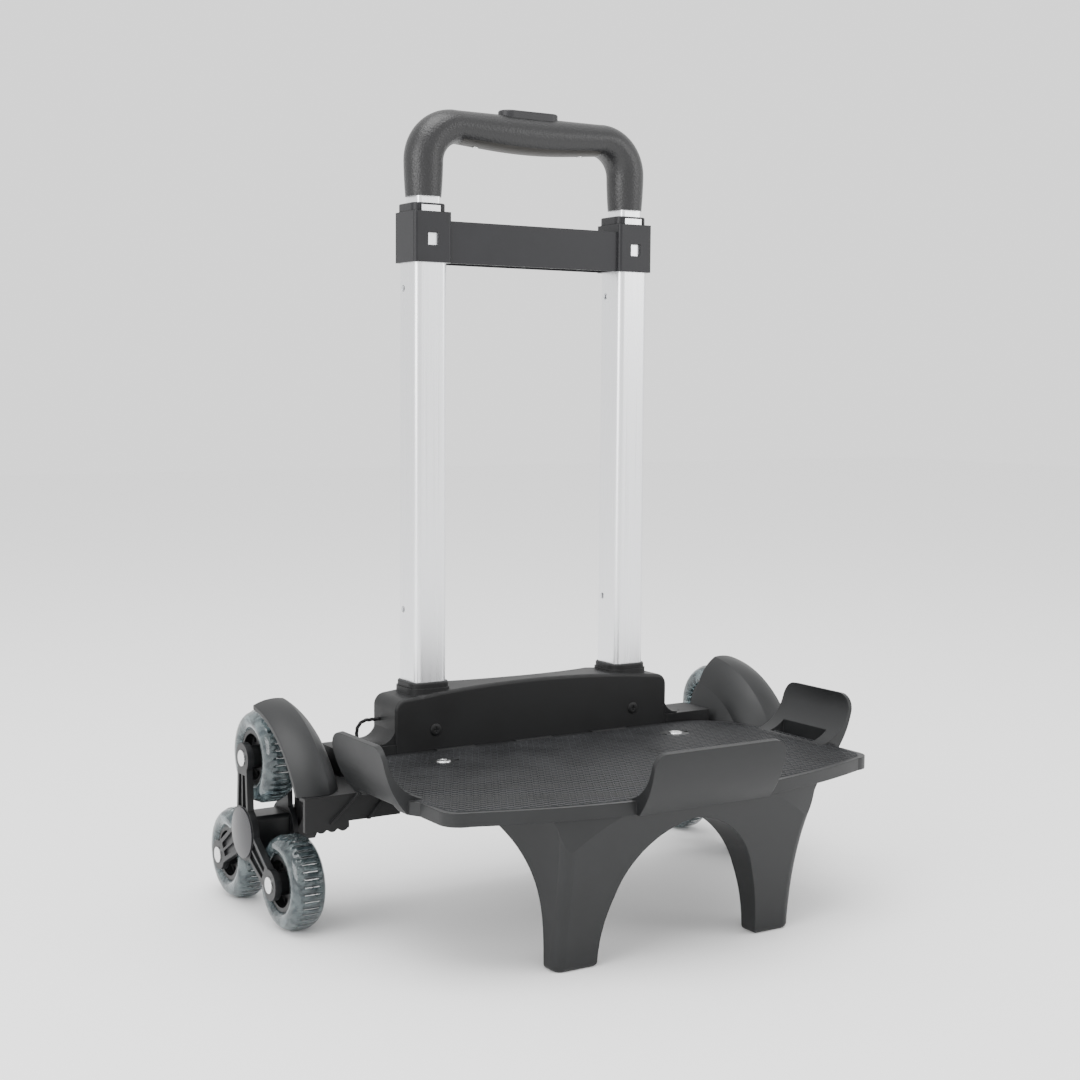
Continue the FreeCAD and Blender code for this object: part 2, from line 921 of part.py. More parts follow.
def wheel(side, sign, place, angle):
    """Hard core with a ring of windows, and a soft tyre moulded over it."""
    centre = wheel_centre(sign, angle)
    rim = "core_diameter / 2"
    core = turned(
        f"core_{side}_{place}_blank",
        [
            ("-core_width / 2", f"{rim} - 3"),
            ("-core_width / 2", rim),
            ("core_width / 2", rim),
            ("core_width / 2", f"{rim} - 3"),
            ("web_width / 2", f"{rim} - 3.4"),
            ("web_width / 2", "axle_diameter / 2 + 4"),
            ("wheel_width / 2", "axle_diameter / 2 + 4"),
            ("wheel_width / 2", "axle_diameter / 2 + running_gap"),
            ("-wheel_width / 2", "axle_diameter / 2 + running_gap"),
            ("-wheel_width / 2", "axle_diameter / 2 + 4"),
            ("-web_width / 2", "axle_diameter / 2 + 4"),
            ("-web_width / 2", f"{rim} - 3.4"),
        ],
        centre,
    )
    windows = []
    for turn in range(12):
        spoke = 30 * turn + 15
        windows.append(
            cylinder(
                f"core_{side}_{place}_window_{turn}",
                (
                    f"{centre[0]} - wheel_width / 2",
                    f"{centre[1]} + window_circle / 2 * cos({spoke} deg)",
                    f"{centre[2]} + window_circle / 2 * sin({spoke} deg)",
                ),
                "window_diameter / 2",
                "wheel_width",
                X,
            )
        )
    node(f"core_{side}_{place}", cut(f"core_{side}_{place}", core, *windows))
    tyre = turned(
        f"tyre_{side}_{place}",
        [
            ("-core_width / 2 - 0.5", rim),
            ("-wheel_width / 2", "(wheel_diameter + core_diameter) / 4 - 2"),
            ("-wheel_width / 2", "wheel_diameter / 2 - 7.5"),
            ("via", "-wheel_width / 2 + 3.2", "wheel_diameter / 2 - 2.2"),
            ("-wheel_width / 2 + 9", "wheel_diameter / 2"),
            ("wheel_width / 2 - 9", "wheel_diameter / 2"),
            ("via", "wheel_width / 2 - 3.2", "wheel_diameter / 2 - 2.2"),
            ("wheel_width / 2", "wheel_diameter / 2 - 7.5"),
            ("wheel_width / 2", "(wheel_diameter + core_diameter) / 4 - 2"),
            ("core_width / 2 + 0.5", rim),
        ],
        centre,
    )
    node(f"tyre_{side}_{place}", tyre)


def spider_plate(name, sign, face, thickness, channelled):
    """Three tapered arms with round ends; face is the plate's side next to the wheels, measured
    from the middle of the trolley, and thickness is negative for the plate that goes inwards."""
    out = 1 if channelled else -1
    low = f"({face})" if sign * out > 0 else f"({face}) + {out} * {thickness}"
    start = f"{sign} * ({face})" if sign * out > 0 else f"{sign} * (({face}) + {out} * ({thickness}))"
    solids = [cylinder(name + "_hub", (start, "hub_line", HUB_Z), "hub_boss_diameter / 2", thickness, X)]
    tools = []
    arm = "spider_radius"
    for place, angle in PLACES:
        _, y, z = wheel_centre(sign, angle)
        solids.append(cylinder(f"{name}_boss_{place}", (start, y, z), "boss_diameter / 2", thickness, X))
        tools.append(
            cylinder(
                f"{name}_bore_{place}",
                (f"{start} - 1", y, z),
                "axle_diameter / 2",
                f"{thickness} + 2",
                X,
            )
        )
        body = padded(
            f"{name}_arm_{place}",
            "YZ_Plane",
            [
                ("0", "-arm_root / 2"),
                (arm, "-arm_tip / 2"),
                (arm, "arm_tip / 2"),
                ("0", "arm_root / 2"),
            ],
            thickness,
            (start, "hub_line", HUB_Z),
        )
        body.Placement = Placement(body.Placement.Base, Rotation(X, angle))
        solids.append(body)
        if channelled:
            root, tip = "hub_boss_diameter / 2 - 1", f"{arm} - boss_diameter / 2 - 1"
            floor = f"{sign} * (({face}) + {thickness}) - (1 + {sign}) / 2 * channel_depth"
            for half in (-1, 1):
                channel = padded(
                    f"{name}_channel_{place}_{'low' if half < 0 else 'high'}",
                    "YZ_Plane",
                    [
                        (root, f"{half} * 0.9"),
                        (tip, f"{half} * 0.9"),
                        (tip, f"{half} * (arm_tip / 2 - channel_rim)"),
                        (root, f"{half} * (arm_root / 2 - channel_rim - 1.2)"),
                    ],
                    "channel_depth + 0.01",
                    (floor, "hub_line", HUB_Z),
                )
                channel.Placement = Placement(channel.Placement.Base, Rotation(X, angle))
                tools.append(channel)
    bore = "hub_axle_diameter / 2 + running_gap"
    tools.append(
        cylinder(name + "_bore", (f"{start} - 1", "hub_line", HUB_Z), bore, f"{thickness} + 2", X)
    )
    return node(name, cut(name, fuse(name + "_solid", *solids), *tools))


for side, sign in SIDES:
    for place, angle in PLACES:
        wheel(side, sign, place, angle)
    spider_plate(f"spider_outer_{side}", sign, OUTER_FACE, "plate_thickness", True)
    spider_plate(f"spider_inner_{side}", sign, INNER_FACE, "(plate_thickness - 1)", False)

    # A square block between the plates runs on the hub axle.
    block = box(
        f"hub_spacer_{side}_blank",
        (
            f"{sign} * {WHEEL_X} - (wheel_width / 2 + side_gap)",
            "hub_line - hub_block / 2",
            f"{HUB_Z} - hub_block / 2",
        ),
        ("wheel_width + 2 * side_gap", "hub_block", "hub_block"),
    )
    soft_block = rounded(
        f"hub_spacer_{side}_soft", block, number("hub_block_corner"), lambda edge: along(edge, X)
    )
    bore = cylinder(
        f"hub_spacer_{side}_bore",
        (f"{sign} * {WHEEL_X} - wheel_width", "hub_line", HUB_Z),
        "hub_axle_diameter / 2 + running_gap",
        "2 * wheel_width",
        X,
    )
    node(f"hub_spacer_{side}", cut(f"hub_spacer_{side}", soft_block, bore))

    # Riveted wheel axles pass through both plates, with a bright head on the outside.
    out_end = f"({OUTER_FACE} + plate_thickness)"
    in_end = f"({INNER_FACE} - plate_thickness + 1)"
    axles = []
    for place, angle in PLACES:
        _, y, z = wheel_centre(sign, angle)
        length = f"{out_end} - {in_end}"
        pin_start = f"{sign} * {in_end}" if sign > 0 else f"-{out_end}"
        head_start = f"{sign} * {out_end}" if sign > 0 else f"-{out_end} - axle_head_rise"
        tail_start = f"{in_end} - axle_head_rise" if sign > 0 else f"-{in_end}"
        pin = cylinder(f"axle_{side}_{place}_pin", (pin_start, y, z), "axle_diameter / 2", length, X)
        head = cylinder(
            f"axle_{side}_{place}_head",
            (head_start, y, z),
            "axle_head_diameter / 2",
            "axle_head_rise",
            X,
        )
        tail = cylinder(
            f"axle_{side}_{place}_tail",
            (tail_start, y, z),
            "axle_head_diameter / 2",
            "axle_head_rise",
            X,
        )
        axles.append(fuse(f"axle_{side}_{place}", pin, head, tail))
    node(f"wheel_axles_{side}", fuse(f"wheel_axles_{side}", *axles))

    # Domed cap over the end of the hub axle: a disc trimmed by a large sphere.
    dome = "(hub_cap_rise - hub_cap_edge)"
    dome_radius = f"((hub_cap_diameter / 2) ^ 2 + {dome} ^ 2) / (2 * {dome})"
    cap_start = f"{out_end}" if sign > 0 else f"-({out_end} + hub_cap_rise)"
    disc = cylinder(
        f"hub_cap_{side}_disc", (cap_start, "hub_line", HUB_Z), "hub_cap_diameter / 2", "hub_cap_rise", X
    )
    sphere = doc.addObject("Part::Sphere", f"hub_cap_{side}_dome")
    bind(
        sphere,
        Radius=dome_radius,
        at=(f"{sign} * ({out_end} + hub_cap_rise - {dome_radius})", "hub_line", HUB_Z),
    )
    node(f"hub_cap_{side}", common(f"hub_cap_{side}", disc, sphere))

    # The hub axle is fixed in the base frame and runs through both plates of the spider.
    end = f"({out_end} - 0.4)"
    root = f"({CARRIER_INNER} + hub_head_rise)"
    pin_low = f"{root}" if sign > 0 else f"-{end}"
    head_low = CARRIER_INNER if sign > 0 else f"-{root}"
    pin = cylinder(
        f"hub_axle_{side}_pin",
        (pin_low, "hub_line", HUB_Z),
        "hub_axle_diameter / 2",
        f"{end} - {root}",
        X,
    )
    head = cylinder(
        f"hub_axle_{side}_head",
        (head_low, "hub_line", HUB_Z),
        "hub_head_diameter / 2",
        "hub_head_rise",
        X,
    )
    node(f"hub_axle_{side}", fuse(f"hub_axle_{side}", pin, head))

# ------------------------------------------------------------------ mudguards


def fender_profile(sign, inset):
    """Half of the guard's section: (distance from the middle, radius about the hub)."""
    crown = f"(fender_radius - {inset})"
    inner = f"({FENDER_INNER} + {inset})"
    return [
        (f"{sign} * {FENDER_OUTER}", f"(fender_rim_radius - {inset})"),
        ("via", f"{sign} * ({FENDER_OUTER} - 11)", f"({crown} - 0.1)"),
        (f"{sign} * ({FENDER_OUTER} - 22)", f"({crown} - 0.3)"),
        ("via", f"{sign} * ({FENDER_INNER} + 21 + 0.4 * {inset})", f"({crown} - 6.2)"),
        (f"{sign} * ({inner} + 13 - 0.3 * {inset})", f"(fender_shoulder - 0.3 * {inset})"),
        ("via", f"{sign} * ({inner} + 5)", f"(fender_shoulder - 15)"),
        (f"{sign} * {inner}", "fender_skirt"),
        (f"{sign} * {inner}", "fender_root"),
    ]


for side, sign in SIDES:
    guard = turned(
        f"fender_{side}_ring",
        fender_profile(sign, "0") + fender_profile(sign, "fender_wall")[::-1],
        ("0", "hub_line", HUB_Z),
    )
    keep = box(
        f"fender_{side}_zone",
        (f"{sign} * {WHEEL_X} - 60", "arm_front - 12", "arm_flange"),
        ("120", "fender_back - arm_front + 12", "120"),
    )
    node(f"fender_{side}", common(f"fender_{side}", guard, keep))

# ------------------------------------------------------------------ base frame


def span(name, sign, across, y, z):
    """A block on one side of the trolley, between two distances from the middle."""
    low, high = across
    start = f"({low})" if sign > 0 else f"-({high})"
    size = (f"({high}) - ({low})", f"({y[1]}) - ({y[0]})", f"({z[1]}) - ({z[0]})")
    return box(name, (start, y[0], z[0]), size)


def hub_carrier(side, sign):
    """The block at the end of an arm that reaches down behind the spider and holds the hub axle."""
    low, high = f"({HUB_Z} - carrier_below)", f"({HUB_Z} + carrier_half)"
    return padded(
        f"hub_carrier_{side}",
        "YZ_Plane",
        [
            ("hub_line - 2.6 * carrier_half", BEAM_BOTTOM),
            ("hub_line - 2.6 * carrier_half", "arm_flange"),
            (HOUSING_BACK, "arm_flange"),
            (HOUSING_BACK, f"{high} + 3"),
            ("hub_line + carrier_half", high),
            ("hub_line + carrier_half", f"{HUB_Z} - 3"),
            ("via", "hub_line + carrier_half - 3.5", f"{low} + 2.5"),
            ("hub_line + 2", low),
            ("hub_line - 0.4 * carrier_half", low),
        ],
        f"{HUB_FACE} - {CARRIER_INNER}",
        (CARRIER_INNER if sign > 0 else f"-({HUB_FACE})", "0", "0"),
    )


def arm(side, sign):
    """Solids of one arm: its root under the housing, body, hub carrier, web, gussets and comb."""
    body_z, web_y = (BEAM_BOTTOM, "arm_flange"), ("arm_front", "arm_front + arm_wall")
    solids = [
        span(
            f"arm_root_{side}",
            sign,
            (ARM_ROOT, FENDER_INNER),
            ("housing_front + 1", HOUSING_BACK),
            ("arm_flange - 1", "arm_top"),
        ),
        span(f"arm_body_{side}", sign, ("arm_inner - 1", HUB_FACE), ("arm_front", HOUSING_BACK), body_z),
        hub_carrier(side, sign),
        span(f"web_{side}", sign, (f"{HUB_FACE} - 1", ARM_REACH), web_y, body_z),
        span(
            f"flange_{side}",
            sign,
            (f"{HUB_FACE} - 1", ARM_REACH),
            ("arm_front", "arm_front + flange_depth"),
            ("arm_flange - flange_thickness", "arm_flange"),
        ),
        span(
            f"comb_{side}",
            sign,
            (f"{ARM_REACH} - comb_length", ARM_REACH),
            web_y,
            (f"{BEAM_BOTTOM} - comb_drop", f"{BEAM_BOTTOM} + 1"),
        ),
    ]
    for bump in range(4):
        centre = f"{sign} * ({ARM_REACH} - comb_pitch * ({bump} + 0.5))"
        solids.append(
            cylinder(
                f"comb_bump_{side}_{bump}",
                (centre, "arm_front + arm_wall", f"{BEAM_BOTTOM} - comb_drop + 2.2"),
                "comb_pitch / 2",
                "arm_wall",
                -Y,
            )
        )
    for place, (foot, top) in enumerate(((18, 38), (45, 61))):
        solids.append(
            padded(
                f"gusset_{side}_{place}",
                "XZ_Plane",
                [
                    (f"{sign} * ({ARM_REACH} - {foot} + 1)", BEAM_BOTTOM),
                    (f"{sign} * ({ARM_REACH} - {foot} - 1)", BEAM_BOTTOM),
                    (f"{sign} * ({ARM_REACH} - {top} - 1)", "arm_flange"),
                    (f"{sign} * ({ARM_REACH} - {top} + 1)", "arm_flange"),
                ],
                "gusset_rise + 0.2",
                ("0", "arm_front + 0.2", "0"),
            )
        )
    return solids


def arm_cuts(side, sign):
    """Seats, threads, vents and the hollow that one arm is cut with."""
    centre = (f"{sign} * {TUBE_X}", "tube_line")
    tools = [
        cylinder(
            f"hub_seat_{side}",
            (f"{CARRIER_INNER} - 1" if sign > 0 else f"-({HUB_FACE} + 1)", "hub_line", HUB_Z),
            "hub_axle_diameter / 2",
            f"{HUB_FACE} - {CARRIER_INNER} + 2",
            X,
        ),
        cylinder(
            f"hub_head_seat_{side}",
            (
                f"{CARRIER_INNER} - 1" if sign > 0 else f"-({CARRIER_INNER} + hub_head_rise)",
                "hub_line",
                HUB_Z,
            ),
            "hub_head_diameter / 2",
            "hub_head_rise + 1",
            X,
        ),
        tube_blank(
            f"tube_seat_{side}",
            centre,
            "tube_width",
            "tube_depth",
            TUBE_BOTTOM,
            "(arm_top + 5)",
            "tube_corner",
        ),
        cylinder(
            f"deck_thread_{side}",
            (f"{sign} * deck_screw_half", "deck_screw_line", f"{BEAM_BOTTOM} + 3"),
            "screw_diameter / 2",
            "40",
        ),
        span(
            f"arm_hollow_{side}",
            sign,
            ("arm_inner + arm_wall", f"{CARRIER_INNER} - arm_wall"),
            ("arm_front + arm_wall", f"{HOUSING_BACK} - arm_wall"),
            (f"{BEAM_BOTTOM} - 1", "arm_flange - arm_wall"),
        ),
    ]
    for hole in range(3):
        tools.append(
            cylinder(
                f"arm_vent_{side}_{hole}",
                (
                    f"{sign} * (housing_half + 8.5 + 5 * {hole})",
                    f"housing_front + 9 - {hole % 2} * 4",
                    "arm_top - 3",
                ),
                "0.9",
                "5",
            )
        )
    return tools


def base_frame():
    """One moulding: a beam under the back of the deck, and an arm to each side that ends in the
    block for the hub axle, with a front web, gussets and a finger comb."""
    beam = box(
        "beam",
        ("-arm_inner", "beam_front", BEAM_BOTTOM),
        ("2 * arm_inner", f"{HOUSING_BACK} - beam_front", "beam_depth"),
    )
    hollow = box(
        "beam_hollow",
        ("-beam_hollow_half", "beam_front + arm_wall", f"{BEAM_BOTTOM} - 1"),
        (
            "2 * beam_hollow_half",
            f"{HOUSING_BACK} - beam_front - 2 * arm_wall",
            "beam_depth + 1 - arm_wall",
        ),
    )
    solids, tools = [beam], [hollow]
    for side, sign in SIDES:
        solids += arm(side, sign)
        tools += arm_cuts(side, sign)
    return node("base_frame", cut("base_frame", fuse("base_frame_solid", *solids), *tools))


base_frame()

# ------------------------------------------------------------------ tube housing


def housing_outline(inset, low):
    """Front view of the housing: arched top, round shoulders and a foot that flares on to the arms."""
    top = f"(housing_height - {inset})"
    half = f"(housing_half - {inset})"
    round_ = f"(8 - {inset} / 2)"
    bow = f"(housing_height + housing_arch - {inset})"
    corner = f"({half} - {round_})"
    near = f"({half} - 0.3 * {round_})"
    left = [
        (f"-{half}", low),
        (f"-{half}", f"{top} - {round_}"),
        ("via", f"-{near}", f"{top} - 0.3 * {round_}"),
        (f"-{corner}", top),
        ("via", "0", bow),
    ]
    right = [
        (corner, top),
        ("via", near, f"{top} - 0.3 * {round_}"),
        (half, f"{top} - {round_}"),
        (half, low),
    ]
    return left + right


def tube_housing():
    """Shell that the tubes stand in, open underneath, with a back that curves in between them."""
    depth, back = "housing_depth", HOUSING_BACK
    outside = padded(
        "housing_outside",
        "XZ_Plane",
        housing_outline("0", DECK_BOTTOM),
        depth,
        ("0", back, "0"),
    )
    crisp = rounded(
        "housing_soft",
        outside,
        2.4,
        lambda edge: edge.BoundBox.YLength < 0.01
        and edge.BoundBox.ZMax > number("deck_top") + 5
        and edge.BoundBox.YMax < number("housing_front") + 1,
    )
    inside = padded(
        "housing_inside",
        "XZ_Plane",
        housing_outline("housing_wall", f"({DECK_BOTTOM} - 1)"),
        f"{depth} - 2 * housing_wall",
        ("0", f"{back} - housing_wall", "0"),
    )
    shell = cut("housing_shell", crisp, inside)
    waist = padded(
        "housing_waist_cut",
        "XY_Plane",
        [
            ("-(housing_half - 52)", f"{back} + 1"),
            ("-(housing_half - 52)", back),
            ("via", "0", f"{back} - housing_waist"),
            ("(housing_half - 52)", back),
            ("(housing_half - 52)", f"{back} + 1"),
        ],
        "80",
        ("0", "0", DECK_BOTTOM),
    )
    wall_outer = padded(
        "housing_waist_wall",
        "XY_Plane",
        [
            ("-(housing_half - 50)", f"{back} - 0.1"),
            ("-(housing_half - 50)", f"{back} - housing_wall"),
            ("via", "0", f"{back} - housing_waist - housing_wall"),
            ("(housing_half - 50)", f"{back} - housing_wall"),
            ("(housing_half - 50)", f"{back} - 0.1"),
        ],
        f"housing_height + housing_arch - {DECK_BOTTOM} - 5",
        ("0", "0", DECK_BOTTOM),
    )
    joined = fuse("housing_joined", shell, common("housing_back_wall", wall_outer, outside_copy()))
    skirts = []
    for side, sign in SIDES:
        skirts.append(
            padded(
                f"housing_skirt_{side}",
                "XZ_Plane",
                [
                    (f"{sign} * (housing_half - 0.5)", "arm_top"),
                    (f"{sign} * (housing_half + 11.5)", "arm_top"),
                    (f"{sign} * (housing_half + 11.5)", "arm_top + 1"),
                    ("via", f"{sign} * (housing_half + 3.2)", "arm_top + 4.2"),
                    (f"{sign} * (housing_half - 0.5)", "arm_top + 12"),
                ],
                f"{depth} - 3",
                ("0", f"{back} - 1", "0"),
            )
        )
    tools, pads = [waist], []
    for side, sign in SIDES:
        centre = (f"{sign} * {TUBE_X}", "tube_line")
        # A raised pad carries the tube's collar.
        pad = tube_blank(
            f"housing_pad_{side}_blank",
            centre,
            "(tube_width + 2 * pad_lip)",
            "(tube_depth + 2 * pad_lip)",
            "(housing_height - 6)",
            PAD_TOP,
            f"({COLLAR_CORNER} + pad_lip - collar_lip)",
        )
        room = span(
            f"housing_pad_{side}_room",
            sign,
            (f"{TUBE_X} - tube_width", f"{TUBE_X} + tube_width"),
            ("housing_front", HOUSING_BACK),
            ("deck_top", f"{PAD_TOP} + 1"),
        )
        pads.append(common(f"housing_pad_{side}", pad, room))
        tools.append(
            tube_blank(
                f"housing_tube_hole_{side}",
                centre,
                "tube_width",
                "tube_depth",
                f"({DECK_BOTTOM} - 1)",
                f"({PAD_TOP} + 1)",
                "tube_corner",
            )
        )
        tools.append(
            tube_blank(
                f"housing_collar_seat_{side}",
                centre,
                "(tube_width + 2 * collar_lip)",
                "(tube_depth + 2 * collar_lip)",
                COLLAR_BOTTOM,
                f"({PAD_TOP} + 1)",
                COLLAR_CORNER,
            )
        )
        tools.append(
            cylinder(
                f"panel_hole_{side}",
                (f"{sign} * {PANEL_SCREW_X}", "housing_front - 1", "panel_screw_height"),
                "screw_diameter / 2",
                "8",
                Y,
            )
        )
        # Room for the arms' roots, which reach in under the housing's foot.
        tools.append(
            span(
                f"housing_arm_room_{side}",
                sign,
                (ARM_ROOT, "housing_half + 1"),
                ("housing_front + 1", f"{HOUSING_BACK} + 1"),
                (f"{DECK_BOTTOM} - 1", "arm_top"),
            )
        )
    solid = fuse("housing_solid", joined, *skirts, *pads)
    return node("tube_housing", cut("tube_housing", solid, *tools))


def outside_copy():
    """The housing's outer block again, to trim its back wall with."""
    outline = housing_outline("1", DECK_BOTTOM)
    return padded("housing_trim", "XZ_Plane", outline, "housing_depth - 0.2", ("0", HOUSING_BACK, "0"))


tube_housing()

# ------------------------------------------------------------------ platform tray


def deck_outline(inset, back):
    """Plan of the deck: bowed front, rounded corners, sides that widen to the wings, and flanks
    that curve in to the foot of the housing."""
    half = f"(deck_half - {inset})"
    root = f"(wing_root - {inset})"
    front = f"(deck_front + {inset})"
    right = [
        (f"{half} - deck_corner", front),
        ("via", f"{half} - 0.293 * deck_corner", f"{front} + 0.293 * deck_corner"),
        (half, f"{front} + deck_corner"),
        (half, "wing_front - 8"),
        (root, "wing_front - 1"),
        (root, "wing_back"),
        (f"({root} - 9)", "wing_back + 1"),
        ("via", f"({root} * 0.75 + housing_half * 0.25)", f"(wing_back * 0.4 + {back} * 0.6)"),
        (f"(housing_half + 12 - {inset})", back),
    ]
    left = [
        ("via", f"-({point[1]})", point[2]) if point[0] == "via" else (f"-({point[0]})", point[1])
        for point in right[::-1]
    ]
    return left + [("via", "0", f"{front} - deck_bow")] + right


def legs_blank(name, inset, low, open_back):
    """Both legs in one block: each level has a straight front, rounded corners and slanting
    flanks, and the levels widen and lean forward as they rise."""
    high = f"({DECK_BOTTOM} + 1)"
    levels = []
    for share in (0.0, 0.35, 0.6, 0.8, 1.0):
        front = f"(foot_front + {inset} - leg_lean * {share ** 1.5})"
        back = f"(foot_back + {open_back} + leg_spread * {share ** 4})"
        near = f"(foot_half_out - {inset} + leg_front_flare * {share ** 4})"
        far = f"(foot_half_out - {inset} + leg_back_flare * {share ** 3})"
        right = [
            (f"{near} - leg_corner", front),
            ("via", f"{near} - 0.293 * leg_corner", f"{front} + 0.293 * leg_corner"),
            (near, f"{front} + leg_corner"),
            (far, back),
        ]
        left = [
            ("via", f"-({point[1]})", point[2]) if point[0] == "via" else (f"-({point[0]})", point[1])
            for point in right[::-1]
        ]
        levels.append((f"{low} + ({high} - {low}) * {share}", right + left))
    return lofted(name, levels)


def leg_arch(name, inset, low):
    """The elliptical arch between the legs, pushed through from front to back."""
    half, crown = f"(foot_half_in - {inset})", f"(arch_height - {inset})"
    right = [
        ("0", crown),
        ("via", f"{half} * 0.5", f"{crown} * 0.866"),
        (f"{half} * 0.866", f"{crown} * 0.5"),
        ("via", f"{half} * 0.966", f"{crown} * 0.259"),
        (half, "0"),
        (half, low),
    ]
    left = [
        ("via", f"-({point[1]})", point[2]) if point[0] == "via" else (f"-({point[0]})", point[1])
        for point in right[:0:-1]
    ]
    return padded(name, "XZ_Plane", right + left, "120", ("0", "-60", "0"))


def front_legs():
    """Two hollow legs with an arch between them, open at the back and inside the deck's plan."""
    plan = padded(
        "legs_plan",
        "XY_Plane",
        deck_outline("leg_inset", "housing_front"),
        f"{DECK_BOTTOM} + 1",
    )
    blank = common("legs_outer", legs_blank("legs_blank", "0", "0", "0"), plan)
    plan_inside = padded(
        "legs_plan_inside",
        "XY_Plane",
        deck_outline("(leg_inset + leg_wall)", "housing_front"),
        f"{DECK_BOTTOM} + 1",
    )
    room = common("legs_room", legs_blank("legs_room_blank", "leg_wall", "leg_wall", "20"), plan_inside)
    arched_room = cut("legs_arched_room", room, leg_arch("leg_arch_wall", "-leg_wall", "-1"))
    hollow = cut("legs_hollow", blank, leg_arch("leg_arch", "0", "-1"), arched_room)
    return rounded(
        "legs_soft",
        hollow,
        number("foot_round"),
        lambda edge: edge.BoundBox.ZMax < 0.01 and foot_outline(edge),
    )


def foot_outline(edge):
    """Whether an edge at the ground is on a foot's outline, not its flat back."""
    return edge.BoundBox.YMin < number("foot_back") - 0.01


def blade_outline(root, reach, height):
    """Section of the lip or a wing: a thin blade that curves up and out from the deck's edge."""
    return [
        (f"{root} - 12", f"{DECK_BOTTOM}"),
        (f"{root} + 0.5", f"{DECK_BOTTOM}"),
        ("via", f"{root} * 0.45 + {reach} * 0.55 + 1.6", f"{DECK_BOTTOM} * 0.62 + {height} * 0.38"),
        (f"{reach}", f"{height}"),
        (f"{reach} - blade", f"{height} + 0.6"),
        ("via", f"{root} * 0.6 + {reach} * 0.4 - blade * 0.6", f"deck_top * 0.74 + {height} * 0.26"),
        (f"{root} - 12", "deck_top"),
    ]


def platform_tray():
    """Deck, legs, lip and wings in one moulding, hollow underneath."""
    rear = "housing_front"
    deck = padded(
        "deck_blank",
        "XY_Plane",
        deck_outline("0", rear),
        "deck_depth",
        ("0", "0", DECK_BOTTOM),
    )
    under = padded(
        "deck_under",
        "XY_Plane",
        deck_outline("deck_rim", f"({rear} - 4)"),
        "deck_depth - deck_skin + 1",
        ("0", "0", f"{DECK_BOTTOM} - 1"),
    )
    plate = cut("deck_plate", deck, under)
    lip_root = "(deck_front - deck_bow)"
    lip_profile = []
    for point in blade_outline(f"(-{lip_root} - 0.5)", "(-lip_reach)", "lip_height"):
        lip_profile.append(
            ("via", f"-({point[1]})", point[2]) if point[0] == "via" else (f"-({point[0]})", point[1])
        )
    lip = padded("lip_blank", "YZ_Plane", lip_profile, "2 * lip_half", ("-lip_half", "0", "0"))
    lip = rounded(
        "lip",
        lip,
        9.0,
        lambda edge: edge.BoundBox.ZMin > number("lip_height") - 2
        and edge.BoundBox.XLength < 0.01
        and edge.BoundBox.YLength > 1,
    )
    wings = []
    for side, sign in SIDES:
        outline = []
        for point in blade_outline("wing_root", "wing_reach", "wing_height"):
            outline.append(
                ("via", f"{sign} * ({point[1]})", point[2])
                if point[0] == "via"
                else (f"{sign} * ({point[0]})", point[1])
            )
        wing = padded(
            f"wing_{side}_blank",
            "XZ_Plane",
            outline,
            "wing_back - wing_front",
            ("0", "wing_back", "0"),
        )
        wings.append(
            rounded(
                f"wing_{side}",
                wing,
                12.0,
                lambda edge: edge.BoundBox.ZMin > number("wing_height") - 2
                and edge.BoundBox.YLength < 0.01
                and edge.BoundBox.XLength > 1,
            )
        )
    bosses, tools = [], []
    for side, sign in SIDES:
        at = (f"{sign} * deck_screw_half", "deck_screw_line", DECK_BOTTOM)
        bosses.append(cylinder(f"deck_boss_{side}", at, "screw_diameter / 2 + 3", "deck_depth - 1"))
        tools.append(
            cylinder(
                f"deck_hole_{side}",
                (at[0], at[1], f"{DECK_BOTTOM} - 1"),
                "screw_diameter / 2",
                "deck_depth + 3",
            )
        )
        for place in (-1, 1):
            tools.append(
                box(
                    f"deck_notch_{side}_{'near' if place < 0 else 'far'}",
                    (
                        f"{sign} * deck_screw_half + {place} * 11 - 3",
                        "deck_screw_line - 1.6",
                        "deck_top - 1.2",
                    ),
                    ("6", "3.2", "3"),
                )
            )
        start = "wing_root - slot_inner" if sign > 0 else "slot_inner - wing_root - slot_width"
        tools.append(
            box(
                f"strap_slot_{side}",
                (start, "wing_front + slot_end", f"{DECK_BOTTOM} - 1"),
                ("slot_width", "wing_back - wing_front - 2 * slot_end", "deck_depth + 9"),
            )
        )
    for place, left in enumerate((-85.0, -20.0, 46.0)):
        bosses.append(
            box(
                f"tongue_{place}",
                (f"{left}", "housing_front - 3.3", "deck_top - 1"),
                ("31", "3.2", "1.7"),
            )
        )
    solid = fuse("tray_solid", plate, front_legs(), lip, *wings, *bosses)
    return node("platform_tray", cut("platform_tray", solid, *tools))


platform_tray()

# ------------------------------------------------------------------ screws and the tie loop


